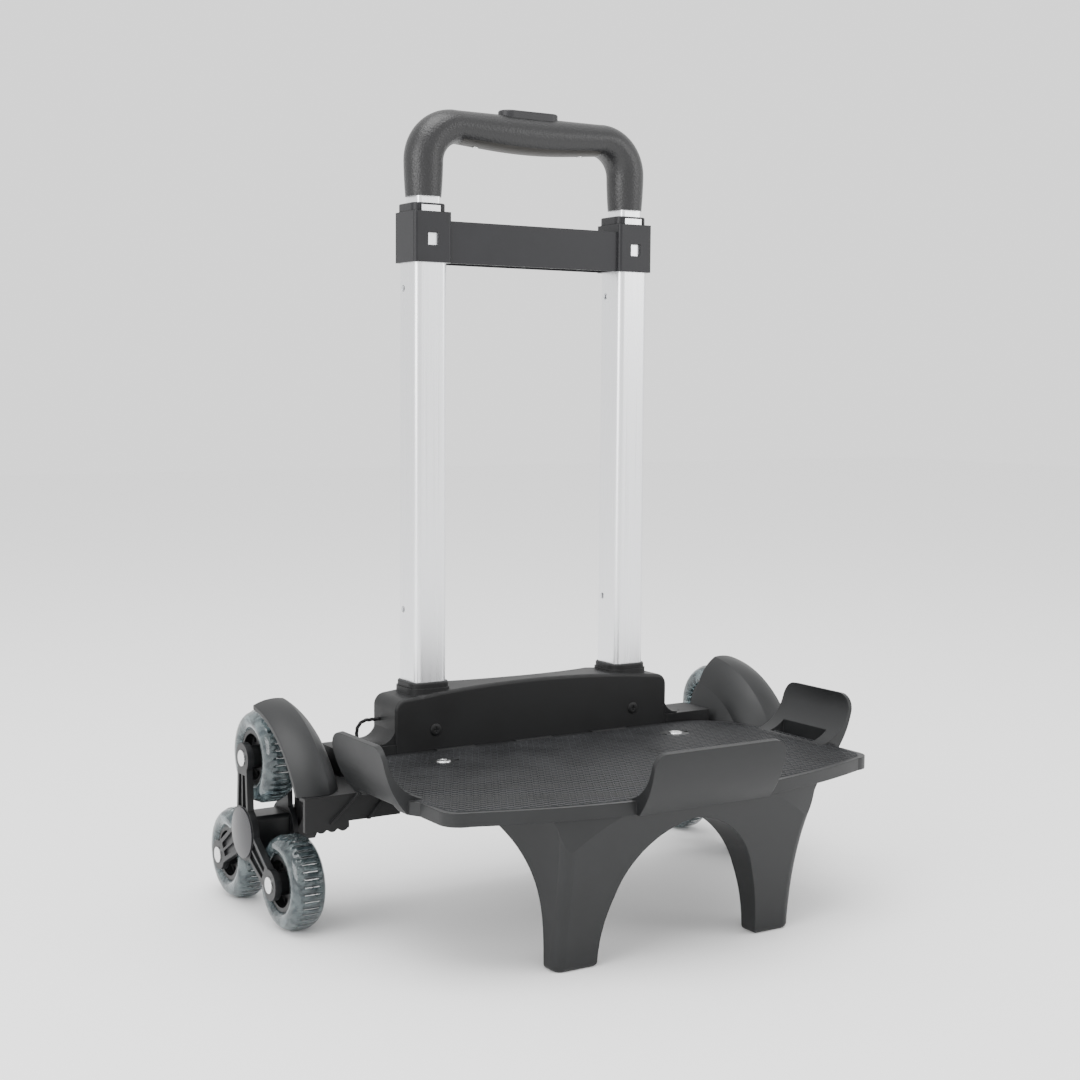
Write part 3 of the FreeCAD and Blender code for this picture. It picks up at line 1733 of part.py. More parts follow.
def screws():
    deck, panel = [], []
    for side, sign in SIDES:
        x = f"{sign} * deck_screw_half"
        head = cylinder(
            f"deck_screw_head_{side}",
            (x, "deck_screw_line", "deck_top"),
            "screw_head / 2",
            "1.2",
        )
        shank = cylinder(
            f"deck_screw_shank_{side}",
            (x, "deck_screw_line", f"{BEAM_BOTTOM} + 6"),
            "screw_diameter / 2",
            f"deck_top - {BEAM_BOTTOM} - 5.5",
        )
        deck.append(fuse(f"deck_screw_{side}", head, shank))
        x = f"{sign} * {PANEL_SCREW_X}"
        head = cylinder(
            f"panel_screw_head_{side}",
            (x, "housing_front - 1", "panel_screw_height"),
            "screw_head * 0.42",
            "1",
            Y,
        )
        shank = cylinder(
            f"panel_screw_shank_{side}",
            (x, "housing_front - 0.5", "panel_screw_height"),
            "screw_diameter / 2",
            "tube_line - tube_depth / 2 - housing_front + 0.4",
            Y,
        )
        panel.append(fuse(f"panel_screw_{side}", head, shank))
    node("deck_screws", fuse("deck_screws", *deck))
    node("panel_screws", fuse("panel_screws", *panel))


def tie_loop():
    """A small cord loop with its ends held in the housing's left side and in the arm below."""
    side, back = -number("housing_half"), number(f"{HOUSING_BACK} - 8")
    high, low = number("panel_screw_height + 6.5"), number("arm_top")
    reach, cord, bend = number("loop_reach"), number("loop_cord"), number("loop_bend")
    slant = math.sqrt(0.5) * bend
    corner = Vector(side - reach + bend, back, high)
    turn = Vector(side - reach, back, high - bend)
    middle = corner + Vector(-slant, 0, slant - bend)
    path = Part.Wire(
        [
            Part.LineSegment(Vector(side, back, high), corner).toShape(),
            Part.Arc(corner, middle, turn).toShape(),
            Part.LineSegment(turn, Vector(side - reach, back, low)).toShape(),
        ]
    )
    section = Part.Wire([Part.Circle(Vector(side, back, high), X, cord / 2).toShape()])
    node("tie_loop", shaped("tie_loop", path.makePipeShell([section], True, False)))


screws()
tie_loop()

# ------------------------------------------------------------------ check and write

doc.recompute()
for thing in doc.Objects:
    for fault in ("Invalid", "Error"):
        if fault in thing.State:
            raise RuntimeError(f"{thing.Name} is {fault}")
for piece in nodes:
    if piece.Shape.isNull() or not piece.Shape.isValid() or not piece.Shape.Solids:
        raise RuntimeError(f"{piece.Label} has no valid solid")

os.makedirs("parts", exist_ok=True)
for piece in nodes:
    piece.Shape.exportStep(os.path.join("parts", piece.Label + ".step"))
print(len(nodes), "sub-parts written")
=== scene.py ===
import math

import bmesh
import bpy
from mathutils import Matrix, Vector


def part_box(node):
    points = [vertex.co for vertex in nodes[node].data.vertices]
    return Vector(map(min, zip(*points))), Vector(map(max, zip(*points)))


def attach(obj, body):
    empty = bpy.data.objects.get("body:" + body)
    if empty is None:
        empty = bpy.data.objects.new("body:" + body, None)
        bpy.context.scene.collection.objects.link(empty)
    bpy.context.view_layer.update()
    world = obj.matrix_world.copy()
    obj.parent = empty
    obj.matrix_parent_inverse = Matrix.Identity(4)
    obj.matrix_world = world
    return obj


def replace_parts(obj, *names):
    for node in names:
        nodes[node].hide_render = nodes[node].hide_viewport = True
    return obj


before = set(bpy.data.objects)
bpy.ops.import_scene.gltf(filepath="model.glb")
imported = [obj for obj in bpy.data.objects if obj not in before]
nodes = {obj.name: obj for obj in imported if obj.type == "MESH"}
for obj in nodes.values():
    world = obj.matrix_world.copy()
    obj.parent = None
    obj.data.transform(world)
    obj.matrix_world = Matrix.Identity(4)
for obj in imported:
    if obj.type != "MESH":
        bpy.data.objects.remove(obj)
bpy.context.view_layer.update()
MM = 0.001

# ---------------------------------------------------------------- platform and mudguards
# The load platform with its front legs, lip and wings, and the two mudguards over the wheels:
# injection moulded polypropylene in dark grey, from spark-eroded tools that leave a fine matt
# grain. The platform is screwed to the base frame, and each guard is clipped to an arm.


def linear(colour):
    """An sRGB hex colour as linear red, green, blue and alpha."""
    parts = [int(colour[place : place + 2], 16) / 255 for place in (1, 3, 5)]
    return [part / 12.92 if part <= 0.04045 else ((part + 0.055) / 1.055) ** 2.4 for part in parts] + [1.0]


def new_material(name):
    made = bpy.data.materials.new(name)
    made.use_nodes = True
    made.node_tree.nodes.clear()
    return made


def add(made, kind, settings=None, inputs=None):
    """Adds one node to a material; an input takes a value, or another node's output."""
    step = made.node_tree.nodes.new("ShaderNode" + kind)
    for name, value in (settings or {}).items():
        setattr(step, name, value)
    for name, value in (inputs or {}).items():
        if isinstance(value, bpy.types.NodeSocket):
            made.node_tree.links.new(value, step.inputs[name])
        else:
            step.inputs[name].default_value = value
    return step


def dress(made, *names):
    """Gives CAD nodes a material in place of their plain one."""
    for name in names:
        if not nodes[name].material_slots:
            nodes[name].data.materials.append(made)
        for place in nodes[name].material_slots:
            place.material = made


def moulded_plastic(name, low, high, roughness, grain, depth, edge):
    """Moulded plastic with a spark-eroded grain of the given size. Low and high are its colours where
    the melt cooled duller and brighter, and edge is the radius of its softened corners."""
    made = new_material(name)
    place = add(made, "TexCoord").outputs["Object"]
    # The flow of the melt clouds the colour and the gloss over a few centimetres.
    flow = add(made, "TexNoise", None, {"Vector": place, "Scale": 1 / (28 * MM), "Detail": 3.0})
    erosion = add(
        made, "TexNoise", None, {"Vector": place, "Scale": 1 / grain, "Detail": 2.0, "Roughness": 0.6}
    )
    cloud = add(made, "MapRange", None, {"Value": flow.outputs["Fac"], "From Min": 0.35, "From Max": 0.65})
    colour = add(
        made, "Mix", {"data_type": "RGBA"}, {0: cloud.outputs["Result"], 6: linear(low), 7: linear(high)}
    )
    gloss = add(
        made,
        "MapRange",
        None,
        {
            "Value": flow.outputs["Fac"],
            "From Min": 0.3,
            "From Max": 0.7,
            "To Min": roughness - 0.04,
            "To Max": roughness + 0.05,
        },
    )
    corner = add(made, "Bevel", {"samples": 4}, {"Radius": edge})
    bump = add(
        made,
        "Bump",
        None,
        {
            "Height": erosion.outputs["Fac"],
            "Distance": depth,
            "Strength": 0.6,
            "Normal": corner.outputs["Normal"],
        },
    )
    shader = add(
        made,
        "BsdfPrincipled",
        None,
        {
            "Base Color": colour.outputs[2],
            "Roughness": gloss.outputs["Result"],
            "Normal": bump.outputs["Normal"],
            "IOR": 1.49,
            "Specular IOR Level": 0.36,
        },
    )
    add(made, "OutputMaterial", None, {"Surface": shader.outputs["BSDF"]})
    return made


# The real grain is about 0.1 mm, too fine to show, so it is drawn at 0.9 mm.
grey_polypropylene = moulded_plastic(
    "grey_moulded_polypropylene", "#131415", "#191a1b", 0.46, 0.9 * MM, 0.05 * MM, 0.9 * MM
)
dress(grey_polypropylene, "platform_tray", "fender_left", "fender_right")

# ---------------------------------------------------------------- deck ribs
# A honeycomb of fine raised ribs, moulded with the deck, that keeps a bag from sliding. The ribs are
# coloured paler than the deck as a painted highlight, where their top edges catch the light.

CELL = 5.0 * MM
RIB = 0.55 * MM
RIB_HEIGHT = 0.35 * MM
DECK_HEAD = 1.2 * MM
EDGE_MARGIN = 4.5 * MM
SCREW_FROM_END = 5.3 * MM
PLAIN_PATCH = 11 * MM

deck_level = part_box("deck_screws")[1].z - DECK_HEAD


def piece(name, build, made, body):
    """A finished object made from a bmesh, riding on a CAD body."""
    mesh = bpy.data.meshes.new(name)
    build.to_mesh(mesh)
    build.free()
    mesh.materials.append(made)
    thing = bpy.data.objects.new(name, mesh)
    bpy.context.scene.collection.objects.link(thing)
    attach(thing, body)
    return thing


def deck_edges():
    """The deck's flat top seen from above: the edges of the hull of its corners, going round."""
    hull = bmesh.new()
    for corner in nodes["platform_tray"].data.vertices:
        if abs(corner.co.z - deck_level) < 0.02 * MM:
            hull.verts.new((corner.co.x, corner.co.y, 0.0))
    bmesh.ops.remove_doubles(hull, verts=hull.verts, dist=0.3 * MM)
    bmesh.ops.convex_hull(hull, input=hull.verts)
    found = []
    middle = Vector((0.0, -0.05, 0.0))
    for edge in hull.edges:
        sides = {round(face.normal.z) for face in edge.link_faces}
        start, end = edge.verts[0].co.copy(), edge.verts[1].co.copy()
        out = (end - start).cross(Vector((0, 0, 1)))
        if out.length > 0 and (len(edge.link_faces) == 1 or len(sides) > 1):
            found.append((start, out.normalized() * (1 if out.dot(start - middle) > 0 else -1)))
    hull.free()
    return found


def honeycomb(low, high):
    """A flat sheet of joined hexagons between two corners."""
    sheet = bmesh.new()
    radius = CELL / math.sqrt(3)
    turned = Matrix.Rotation(math.radians(30), 4, "Z")
    row = 0
    while low.y + row * 1.5 * radius < high.y:
        across = low.x + (row % 2) * CELL / 2
        while across < high.x:
            spot = Matrix.Translation((across, low.y + row * 1.5 * radius, 0)) @ turned
            bmesh.ops.create_circle(sheet, cap_ends=True, segments=6, radius=radius, matrix=spot)
            across += CELL
        row += 1
    bmesh.ops.remove_doubles(sheet, verts=sheet.verts, dist=0.1 * MM)
    return sheet


ribs = honeycomb(Vector((-0.175, -0.155, 0)), Vector((0.175, 0.042, 0)))
for start, out in deck_edges():
    whole = list(ribs.verts) + list(ribs.edges) + list(ribs.faces)
    margin = start - out * EDGE_MARGIN
    bmesh.ops.bisect_plane(ribs, geom=whole, plane_co=margin, plane_no=out, clear_outer=True)
# The ribs leave a plain patch round each deck screw.
screw_low, screw_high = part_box("deck_screws")
across = screw_high.x - SCREW_FROM_END
along = (screw_low.y + screw_high.y) / 2
screw_spots = [Vector((sign * across, along, 0)) for sign in (-1, 1)]


def by_a_screw(face):
    """Whether a cell lies in the plain patch round a deck screw."""
    return any((face.calc_center_median() - spot).length < PLAIN_PATCH for spot in screw_spots)


near = [face for face in ribs.faces if by_a_screw(face)]
bmesh.ops.delete(ribs, geom=near, context="FACES")
cells = list(ribs.faces)
bmesh.ops.inset_individual(ribs, faces=cells, thickness=RIB / 2, use_even_offset=True)
bmesh.ops.delete(ribs, geom=cells, context="FACES")
raised = bmesh.ops.extrude_face_region(ribs, geom=list(ribs.faces), use_keep_orig=True)["geom"]
tops = [item for item in raised if isinstance(item, bmesh.types.BMVert)]
bmesh.ops.translate(ribs, verts=tops, vec=(0, 0, RIB_HEIGHT))
bmesh.ops.translate(ribs, verts=ribs.verts, vec=(0, 0, deck_level + 0.01 * MM))
bmesh.ops.recalc_face_normals(ribs, faces=ribs.faces)

# The ribs' paler colours are a painted highlight for the light that their tops catch.
painted_highlight_polypropylene = moulded_plastic(
    "painted_highlight_polypropylene", "#2b2c2e", "#38393b", 0.42, 0.9 * MM, 0.02 * MM, 0.1 * MM
)
piece("deck_ribs", ribs, painted_highlight_polypropylene, "chassis")

# ---------------------------------------------------------------- base frame and tube housing
# The base frame under the deck with its two arms, the housing that the tubes stand in, their
# collars, the bracket high up on the tubes and the heads of the middle tubes: glass-filled
# polypropylene, nearly black and a little smoother than the platform.

black_polypropylene = moulded_plastic(
    "black_glass_filled_polypropylene", "#070708", "#0b0c0d", 0.52, 1.1 * MM, 0.05 * MM, 0.8 * MM
)
dress(black_polypropylene, "base_frame", "tube_housing", "tube_collar_left", "tube_collar_right")
smooth_polypropylene = moulded_plastic(
    "smooth_moulded_polypropylene", "#131316", "#19191c", 0.42, 1.1 * MM, 0.03 * MM, 0.7 * MM
)
dress(smooth_polypropylene, "upper_bracket", "middle_head_left", "middle_head_right")

# ---------------------------------------------------------------- telescope tubes
# Three pairs of square extruded aluminium tubes, one inside the other, drawn with rounded corners
# and anodised in natural silver with a satin finish.

satin_aluminium = new_material("satin_anodised_aluminium")
place = add(satin_aluminium, "TexCoord").outputs["Object"]
# Extrusion leaves faint lines along the tube, drawn here 0.8 mm apart.
lines_place = add(satin_aluminium, "Mapping", None, {"Vector": place, "Scale": (1.0, 1.0, 0.004)})
lines = add(
    satin_aluminium,
    "TexNoise",
    None,
    {"Vector": lines_place.outputs["Vector"], "Scale": 1 / (0.8 * MM), "Detail": 2.0},
)
brushed = add(
    satin_aluminium,
    "MapRange",
    None,
    {"Value": lines.outputs["Fac"], "From Min": 0.3, "From Max": 0.7, "To Min": 0.25, "To Max": 0.36},
)
tint = add(
    satin_aluminium,
    "Mix",
    {"data_type": "RGBA"},
    {0: lines.outputs["Fac"], 6: linear("#eceef0"), 7: linear("#f6f6f8")},
)
drawn = add(
    satin_aluminium, "Bump", None, {"Height": lines.outputs["Fac"], "Distance": 0.02 * MM, "Strength": 0.4}
)
metal = add(
    satin_aluminium,
    "BsdfPrincipled",
    None,
    {
        "Base Color": tint.outputs[2],
        "Metallic": 1.0,
        "Roughness": brushed.outputs["Result"],
        "Normal": drawn.outputs["Normal"],
    },
)
add(satin_aluminium, "OutputMaterial", None, {"Surface": metal.outputs["BSDF"]})
for side in ("left", "right"):
    dress(satin_aluminium, f"outer_tube_{side}", f"middle_tube_{side}", f"inner_tube_{side}")

# ---------------------------------------------------------------- plugs, lock blocks and push bar
# Small inner mouldings of natural dark nylon: the plugs in the tubes' feet, the blocks with the
# telescope's locks, and the bar under the button. They are pushed in and never seen in use.

dark_nylon = moulded_plastic("dark_moulded_nylon", "#2a2a2c", "#333336", 0.4, 0.9 * MM, 0.03 * MM, 0.3 * MM)
for side in ("left", "right"):
    dress(dark_nylon, f"tube_plug_{side}", f"middle_lock_{side}", f"inner_lock_{side}")
dress(dark_nylon, "push_bar")

# ---------------------------------------------------------------- grip
# A curved handle with a grained skin like fine leather, semi-gloss black, moulded over the ends
# of the inner tubes, with a plain cover underneath and a domed push button on top.

grained_black = new_material("leather_grained_black_plastic")
place = add(grained_black, "TexCoord").outputs["Object"]
# Leather pebbles about 1.3 mm across, with finer creases between them.
pebbles = add(
    grained_black,
    "TexVoronoi",
    {"feature": "SMOOTH_F1"},
    {"Vector": place, "Scale": 1 / (1.3 * MM), "Smoothness": 0.6},
)
creases = add(grained_black, "TexNoise", None, {"Vector": place, "Scale": 1 / (0.9 * MM), "Detail": 3.0})
relief = add(
    grained_black,
    "Math",
    {"operation": "MULTIPLY_ADD"},
    {0: creases.outputs["Fac"], 1: 0.5, 2: pebbles.outputs["Distance"]},
)
grain = add(
    grained_black,
    "Bump",
    {"invert": True},
    {"Height": relief.outputs["Value"], "Distance": 0.25 * MM, "Strength": 0.7},
)
worn = add(
    grained_black,
    "MapRange",
    None,
    {"Value": creases.outputs["Fac"], "From Min": 0.3, "From Max": 0.7, "To Min": 0.32, "To Max": 0.46},
)
shade = add(
    grained_black,
    "Mix",
    {"data_type": "RGBA"},
    {0: creases.outputs["Fac"], 6: linear("#0b0b0c"), 7: linear("#131315")},
)
skin = add(
    grained_black,
    "BsdfPrincipled",
    None,
    {
        "Base Color": shade.outputs[2],
        "Roughness": worn.outputs["Result"],
        "Normal": grain.outputs["Normal"],
        "IOR": 1.52,
    },
)
add(grained_black, "OutputMaterial", None, {"Surface": skin.outputs["BSDF"]})
dress(grained_black, "grip_shell")
cover_nylon = moulded_plastic(
    "grip_cover_nylon", "#272523", "#32302d", 0.45, 0.9 * MM, 0.03 * MM, 0.4 * MM
)
dress(cover_nylon, "grip_cover")
button_nylon = moulded_plastic("button_nylon", "#1b1b1d", "#242426", 0.38, 0.9 * MM, 0.03 * MM, 1.4 * MM)
dress(button_nylon, "push_button")

# ---------------------------------------------------------------- fasteners, axles and spring
# Steel with a bright zinc plate: pan-head screws with a cross recess, riveted axles with flat
# heads, the hub axles, the release rods and the button's coil spring.

bright_zinc = new_material("bright_zinc_plated_steel")
place = add(bright_zinc, "TexCoord").outputs["Object"]
plating = add(bright_zinc, "TexNoise", None, {"Vector": place, "Scale": 1 / (1.6 * MM), "Detail": 4.0})
mottle = add(
    bright_zinc,
    "MapRange",
    None,
    {"Value": plating.outputs["Fac"], "From Min": 0.3, "From Max": 0.7, "To Min": 0.2, "To Max": 0.34},
)
hue = add(
    bright_zinc,
    "Mix",
    {"data_type": "RGBA"},
    {0: plating.outputs["Fac"], 6: linear("#d2d4d6"), 7: linear("#e6e6e4")},
)
soft_edge = add(bright_zinc, "Bevel", {"samples": 4}, {"Radius": 0.3 * MM})
steel = add(
    bright_zinc,
    "BsdfPrincipled",
    None,
    {
        "Base Color": hue.outputs[2],
        "Metallic": 1.0,
        "Roughness": mottle.outputs["Result"],
        "Normal": soft_edge.outputs["Normal"],
    },
)
add(bright_zinc, "OutputMaterial", None, {"Surface": steel.outputs["BSDF"]})
for side in ("left", "right"):
    dress(bright_zinc, f"wheel_axles_{side}", f"hub_axle_{side}")
dress(bright_zinc, "grip_screws", "button_spring", "release_rods")


SHANK = 2.5 * MM
PANEL_HEAD = 1.0 * MM
UP = Vector((0, 0, 1))
FORWARD = Vector((0, -1, 0))


def screw(build, start, axis, radius, height, shank, length):
    """A pan-head screw with a cross recess. Start is the seat under its head, where the shank begins,
    and axis points out of the head."""
    arm, half, sunk = 0.52 * radius, 0.1 * radius, 0.6 * height
    mid_arm = (arm + half) / 2
    quarter = [(arm, -half), (arm, 0.0), (arm, half), (mid_arm, half), (half, half), (half, mid_arm)]
    cross = []
    for turned in range(4):
        spin = Matrix.Rotation(math.pi / 2 * turned, 2)
        cross += [spin @ Vector(corner) for corner in quarter]
    step = 2 * math.pi / len(cross)
    angles = [step * (place - 1) for place in range(len(cross))]
    ring = [Vector((math.cos(angle), math.sin(angle))) for angle in angles]
    stand = axis.to_track_quat("Z", "Y").to_matrix()
    loops = [
        ([corner * 0.7 for corner in cross], height - sunk),
        (cross, height),
        ([corner * radius * 0.62 for corner in ring], height * 0.97),
        ([corner * radius * 0.86 for corner in ring], height * 0.74),
        ([corner * radius * 0.97 for corner in ring], height * 0.42),
        ([corner * radius for corner in ring], height * 0.12),
        ([corner * radius for corner in ring], 0.0),
        ([corner * shank for corner in ring], 0.0),
        ([corner * shank for corner in ring], -length),
    ]
    made = []
    for flat, level in loops:
        spots = [start + stand @ Vector((corner.x, corner.y, level)) for corner in flat]
        made.append([build.verts.new(spot) for spot in spots])
    for inner, outer in zip(made, made[1:]):
        for place in range(len(inner)):
            following = (place + 1) % len(inner)
            build.faces.new((inner[place], outer[place], outer[following], inner[following]))
    build.faces.new(made[0])
    build.faces.new(made[-1][::-1])


def screw_pair(name, node, axis, made, height):
    """Two screws alike, in place of a node's plain ones at the left and right ends of its box."""
    low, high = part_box(node)
    size, middle = high - low, (low + high) / 2
    if axis.z:
        radius, length = size.y / 2, size.z - height
        middle.z = high.z - height
    else:
        radius, length = size.z / 2, size.y - height
        middle.y = low.y + height
    build = bmesh.new()
    for across in (low.x + radius, high.x - radius):
        start = Vector((across, middle.y, middle.z))
        screw(build, start, axis, radius, height, min(SHANK, radius * 0.6), length)
    bmesh.ops.recalc_face_normals(build, faces=build.faces)
    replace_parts(piece(name, build, made, "chassis"), node)


screw_pair("cross_recess_deck_screws", "deck_screws", UP, bright_zinc, DECK_HEAD)
screw_pair(
    "cross_recess_panel_screws", "panel_screws", FORWARD, black_polypropylene, PANEL_HEAD
)

# ---------------------------------------------------------------- spiders and hub caps
# Each spider is a pair of three-armed plates moulded in glass-filled nylon, with ribs along the
# arms. A domed cap of smooth grey plastic hides the end of the hub axle.

spider_nylon = moulded_plastic(
    "spider_glass_filled_nylon", "#0c0d0e", "#131416", 0.42, 0.9 * MM, 0.05 * MM, 0.5 * MM
)
cap_plastic = moulded_plastic("glossy_grey_cap", "#222225", "#29292c", 0.28, 1.2 * MM, 0.01 * MM, 0.4 * MM)
for side in ("left", "right"):
    dress(spider_nylon, f"spider_outer_{side}", f"spider_inner_{side}", f"hub_spacer_{side}")
    dress(cap_plastic, f"hub_cap_{side}")

# ---------------------------------------------------------------- wheels
# Each wheel is a hard black nylon core with twelve round windows, and a clear smoky tyre of soft
# polyurethane cast over it, glassy, with faint cross marks round the middle of its tread.

core_nylon = moulded_plastic("wheel_core_nylon", "#0c0d0e", "#151617", 0.4, 0.8 * MM, 0.04 * MM, 0.5 * MM)
tyre_rubber = new_material("clear_smoky_polyurethane")
place = add(tyre_rubber, "TexCoord").outputs["Object"]
# The cast rubber holds cloudy bands of darker and paler smoke a few millimetres wide.
swirl = add(
    tyre_rubber,
    "TexNoise",
    None,
    {"Vector": place, "Scale": 1 / (11 * MM), "Detail": 4.0, "Distortion": 1.6},
)
bands = add(
    tyre_rubber, "MapRange", None, {"Value": swirl.outputs["Fac"], "From Min": 0.38, "From Max": 0.64}
)
smoke = add(
    tyre_rubber,
    "Mix",
    {"data_type": "RGBA"},
    {0: bands.outputs["Result"], 6: linear("#414d52"), 7: linear("#7f8c8e")},
)
scuffs = add(tyre_rubber, "TexNoise", None, {"Vector": place, "Scale": 1 / (3 * MM), "Detail": 3.0})
haze = add(
    tyre_rubber,
    "MapRange",
    None,
    {"Value": scuffs.outputs["Fac"], "From Min": 0.35, "From Max": 0.7, "To Min": 0.05, "To Max": 0.14},
)
scuffed = add(
    tyre_rubber, "Bump", None, {"Height": scuffs.outputs["Fac"], "Distance": 0.05 * MM, "Strength": 0.35}
)
gel = add(
    tyre_rubber,
    "BsdfPrincipled",
    None,
    {
        "Base Color": smoke.outputs[2],
        "Roughness": haze.outputs["Result"],
        "Normal": scuffed.outputs["Normal"],
        "Transmission Weight": 0.7,
        "IOR": 1.5,
    },
)
add(tyre_rubber, "OutputMaterial", None, {"Surface": gel.outputs["BSDF"]})

GROOVES = 40
STEPS_PER_GROOVE = 4
GROOVE_DEPTH = 0.25 * MM
TREAD_HALF = 5.5 * MM
TREAD_DEEP = 3.0 * MM
TYRE_DEEP = 12.7 * MM


def grooved_tyre(name, body, node):
    """A tyre turned about its axle from half a section, with every fourth step of its tread sunk."""
    low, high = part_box(node)
    middle = (low + high) / 2
    radius, half = (high.z - low.z) / 2, (high.x - low.x) / 2
    rim = radius - TYRE_DEEP
    section = [
        (half - 2.0 * MM, rim),
        (half - 0.3 * MM, rim + 2.5 * MM),
        (half, radius - 8.0 * MM),
        (half - 0.4 * MM, radius - 5.2 * MM),
        (half - 1.6 * MM, radius - 3.2 * MM),
        (half - 3.6 * MM, radius - 1.6 * MM),
        (half - 6.4 * MM, radius - 0.5 * MM),
        (5.0 * MM, radius - 0.1 * MM),
        (0.0, radius),
    ]
    whole = section + [(-across, out) for across, out in section[-2::-1]]
    tyre = bmesh.new()
    corners = [tyre.verts.new((middle.x + across, middle.y, middle.z + out)) for across, out in whole]
    edges = [tyre.edges.new(pair) for pair in zip(corners, corners[1:] + corners[:1])]
    bmesh.ops.spin(
        tyre,
        geom=corners + edges,
        cent=middle,
        axis=(1, 0, 0),
        angle=2 * math.pi,
        steps=GROOVES * STEPS_PER_GROOVE,
        use_merge=True,
    )
    bmesh.ops.remove_doubles(tyre, verts=tyre.verts, dist=0.01 * MM)
    bmesh.ops.recalc_face_normals(tyre, faces=tyre.faces)
    for groove in range(GROOVES):
        sunk = []
        for face in tyre.faces:
            at = face.calc_center_median() - middle
            step = math.atan2(at.z, at.y) / (2 * math.pi) * GROOVES
            on_tread = abs(at.x) < TREAD_HALF and at.yz.length > radius - TREAD_DEEP
            if on_tread and abs(step - groove + GROOVES / 2 - 0.125) < 0.13:
                sunk.append(face)
        if sunk:
            made = bmesh.ops.extrude_face_region(tyre, geom=sunk)["geom"]
            bottom = [item for item in made if isinstance(item, bmesh.types.BMVert)]
            for corner in bottom:
                inward = Vector((0, corner.co.y - middle.y, corner.co.z - middle.z)).normalized()
                corner.co -= inward * GROOVE_DEPTH
    for face in tyre.faces:
        face.smooth = True
    thing = piece(name, tyre, tyre_rubber, body)
    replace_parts(thing, node)
    return thing


for side in ("left", "right"):
    for spot in ("top", "front", "rear"):
        dress(core_nylon, f"core_{side}_{spot}")
        grooved_tyre(f"grooved_tyre_{side}_{spot}", f"wheel_{side}_{spot}", f"tyre_{side}_{spot}")

# ---------------------------------------------------------------- tie loop
# A short cord of three twisted strands, its ends held in the housing's side and in the arm below.
# The strands are spun polyester, dull black, and each winds round the others.

STRANDS = 3
TWIST = 4.2 * MM
BEND = 8.0 * MM

cord_low, cord_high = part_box("tie_loop")
cord_thick = (cord_high - cord_low).y
out_x, up_z = cord_low.x + cord_thick / 2, cord_high.z - cord_thick / 2
cord_y = (cord_low.y + cord_high.y) / 2
level = out_x + BEND - cord_high.x
cord_path = []
for part in range(12):
    cord_path.append((Vector((cord_high.x + level * part / 12, cord_y, up_z)), Vector((-1, 0, 0))))
for part in range(17):
    swept = math.pi / 2 * part / 16
    spot = Vector((out_x + BEND - BEND * math.sin(swept), cord_y, up_z - BEND + BEND * math.cos(swept)))
    cord_path.append((spot, Vector((-math.cos(swept), 0, -math.sin(swept)))))
foot = up_z - BEND - cord_low.z
for part in range(1, 41):
    cord_path.append((Vector((out_x, cord_y, up_z - BEND - foot * part / 40)), Vector((0, 0, -1))))

cord = bmesh.new()
strand_radius = cord_thick * 0.26
for strand in range(STRANDS):
    gone, last, rings = 0.0, cord_path[0][0], []
    for spot, along in cord_path:
        gone += (spot - last).length
        last = spot
        sideways = Vector((0, 1, 0))
        upright = along.cross(sideways)
        wound = 2 * math.pi * (gone / (TWIST * STRANDS) + strand / STRANDS)
        off_middle = sideways * math.cos(wound) + upright * math.sin(wound)
        centre = spot + off_middle * (cord_thick / 2 - strand_radius)
        ring = []
        for corner in range(8):
            angle = math.pi / 4 * corner
            round_strand = sideways * math.cos(angle) + upright * math.sin(angle)
            ring.append(cord.verts.new(centre + round_strand * strand_radius))
        rings.append(ring)
    for near_ring, far_ring in zip(rings, rings[1:]):
        for corner in range(8):
            following = (corner + 1) % 8
            cord.faces.new((near_ring[corner], near_ring[following], far_ring[following], far_ring[corner]))
    cord.faces.new(rings[0][::-1])
    cord.faces.new(rings[-1])
bmesh.ops.recalc_face_normals(cord, faces=cord.faces)
for face in cord.faces:
    face.smooth = len(face.verts) == 4
spun_polyester = moulded_plastic(
    "spun_polyester_cord", "#0e0e0f", "#1a1a1c", 0.72, 0.5 * MM, 0.12 * MM, 0.1 * MM
)
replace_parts(piece("twisted_tie_loop", cord, spun_polyester, "chassis"), "tie_loop")

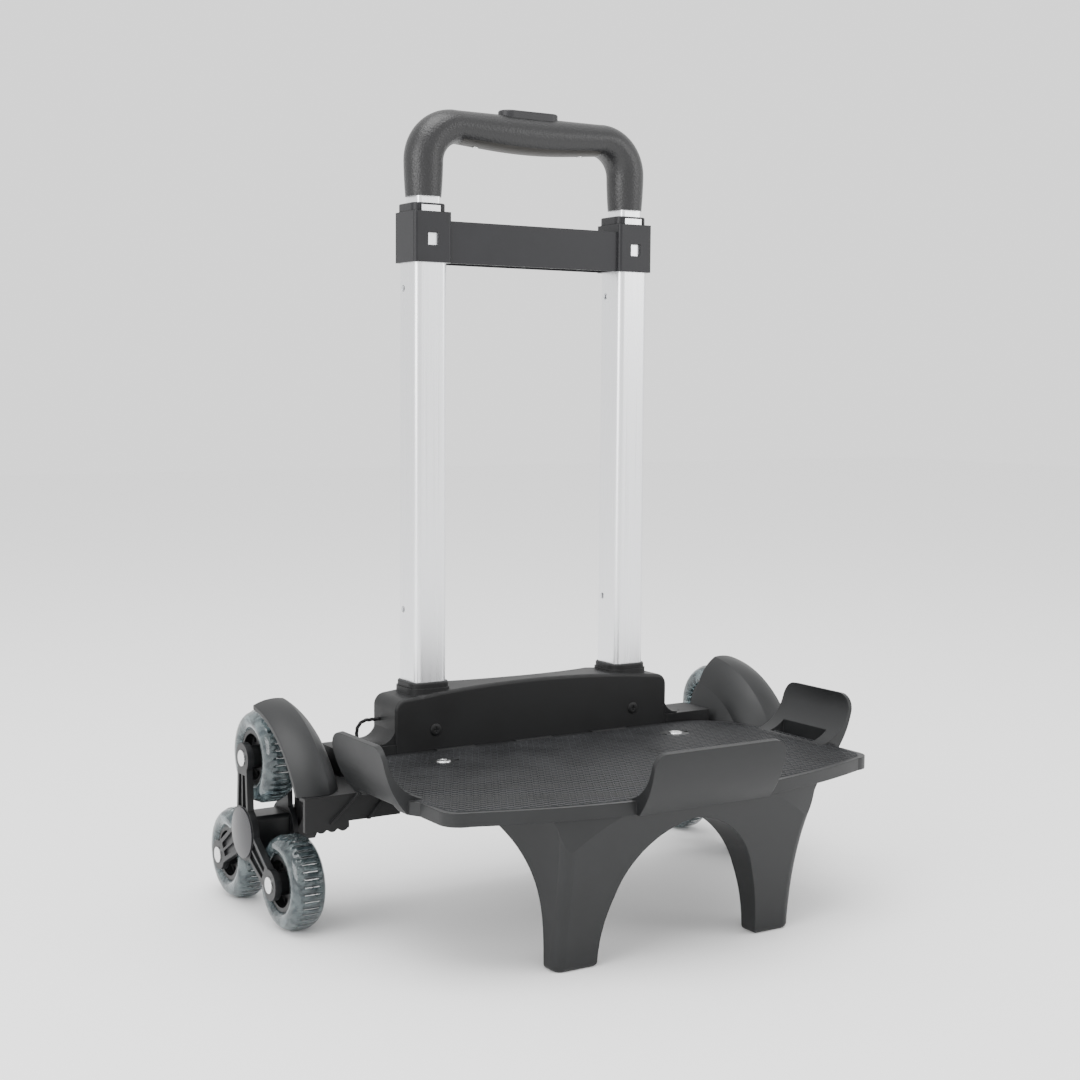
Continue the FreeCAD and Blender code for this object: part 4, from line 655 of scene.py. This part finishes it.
# ---------------------------------------------------------------- studio
# A plain, flat, pale floor under an even white sky, with a large soft light overhead and to the
# left, a smaller one at the left side and a weaker one from the right.

FLOOR_HALF = 6.0

floor = bmesh.new()
bmesh.ops.create_grid(floor, x_segments=1, y_segments=1, size=FLOOR_HALF)
floor_mesh = bpy.data.meshes.new("floor")
floor.to_mesh(floor_mesh)
floor.free()
white_board = new_material("white_board")
paper = add(
    white_board, "BsdfPrincipled", None, {"Base Color": linear("#fbfbfb"), "Roughness": 0.75}
)
add(white_board, "OutputMaterial", None, {"Surface": paper.outputs["BSDF"]})
floor_mesh.materials.append(white_board)
floor_object = bpy.data.objects.new("floor", floor_mesh)
bpy.context.scene.collection.objects.link(floor_object)

world = bpy.data.worlds.new("studio_white")
world.use_nodes = True
world.node_tree.nodes["Background"].inputs["Color"].default_value = (1.0, 1.0, 1.0, 1.0)
world.node_tree.nodes["Background"].inputs["Strength"].default_value = 1.5
bpy.context.scene.world = world


def softbox(name, place, size, power):
    """A square area light that faces the trolley's middle."""
    lamp = bpy.data.lights.new(name, "AREA")
    lamp.shape = "SQUARE"
    lamp.size = size
    lamp.energy = power
    thing = bpy.data.objects.new(name, lamp)
    thing.location = place
    thing.rotation_euler = (Vector((0, 0, 0.25)) - Vector(place)).to_track_quat("-Z", "Y").to_euler()
    bpy.context.scene.collection.objects.link(thing)


softbox("overhead", (-0.4, -0.3, 2.2), 1.6, 44.0)
softbox("left_side", (-2.0, -0.6, 0.9), 1.2, 26.0)
softbox("right_side", (1.6, -1.6, 1.0), 1.0, 12.0)

camera = bpy.data.cameras.new("camera")
camera.lens = 58.19
camera.shift_x = 0.0047
camera.shift_y = 0.0045
camera_object = bpy.data.objects.new("camera", camera)
camera_object.location = (-0.66703, -1.01025, 0.36320)
turn = Matrix.Rotation(-0.5597, 4, "Z") @ Matrix.Rotation(math.pi / 2 - 0.0899, 4, "X")
camera_object.rotation_euler = (turn @ Matrix.Rotation(0.0069, 4, "Z")).to_euler()
bpy.context.scene.collection.objects.link(camera_object)
bpy.context.scene.camera = camera_object
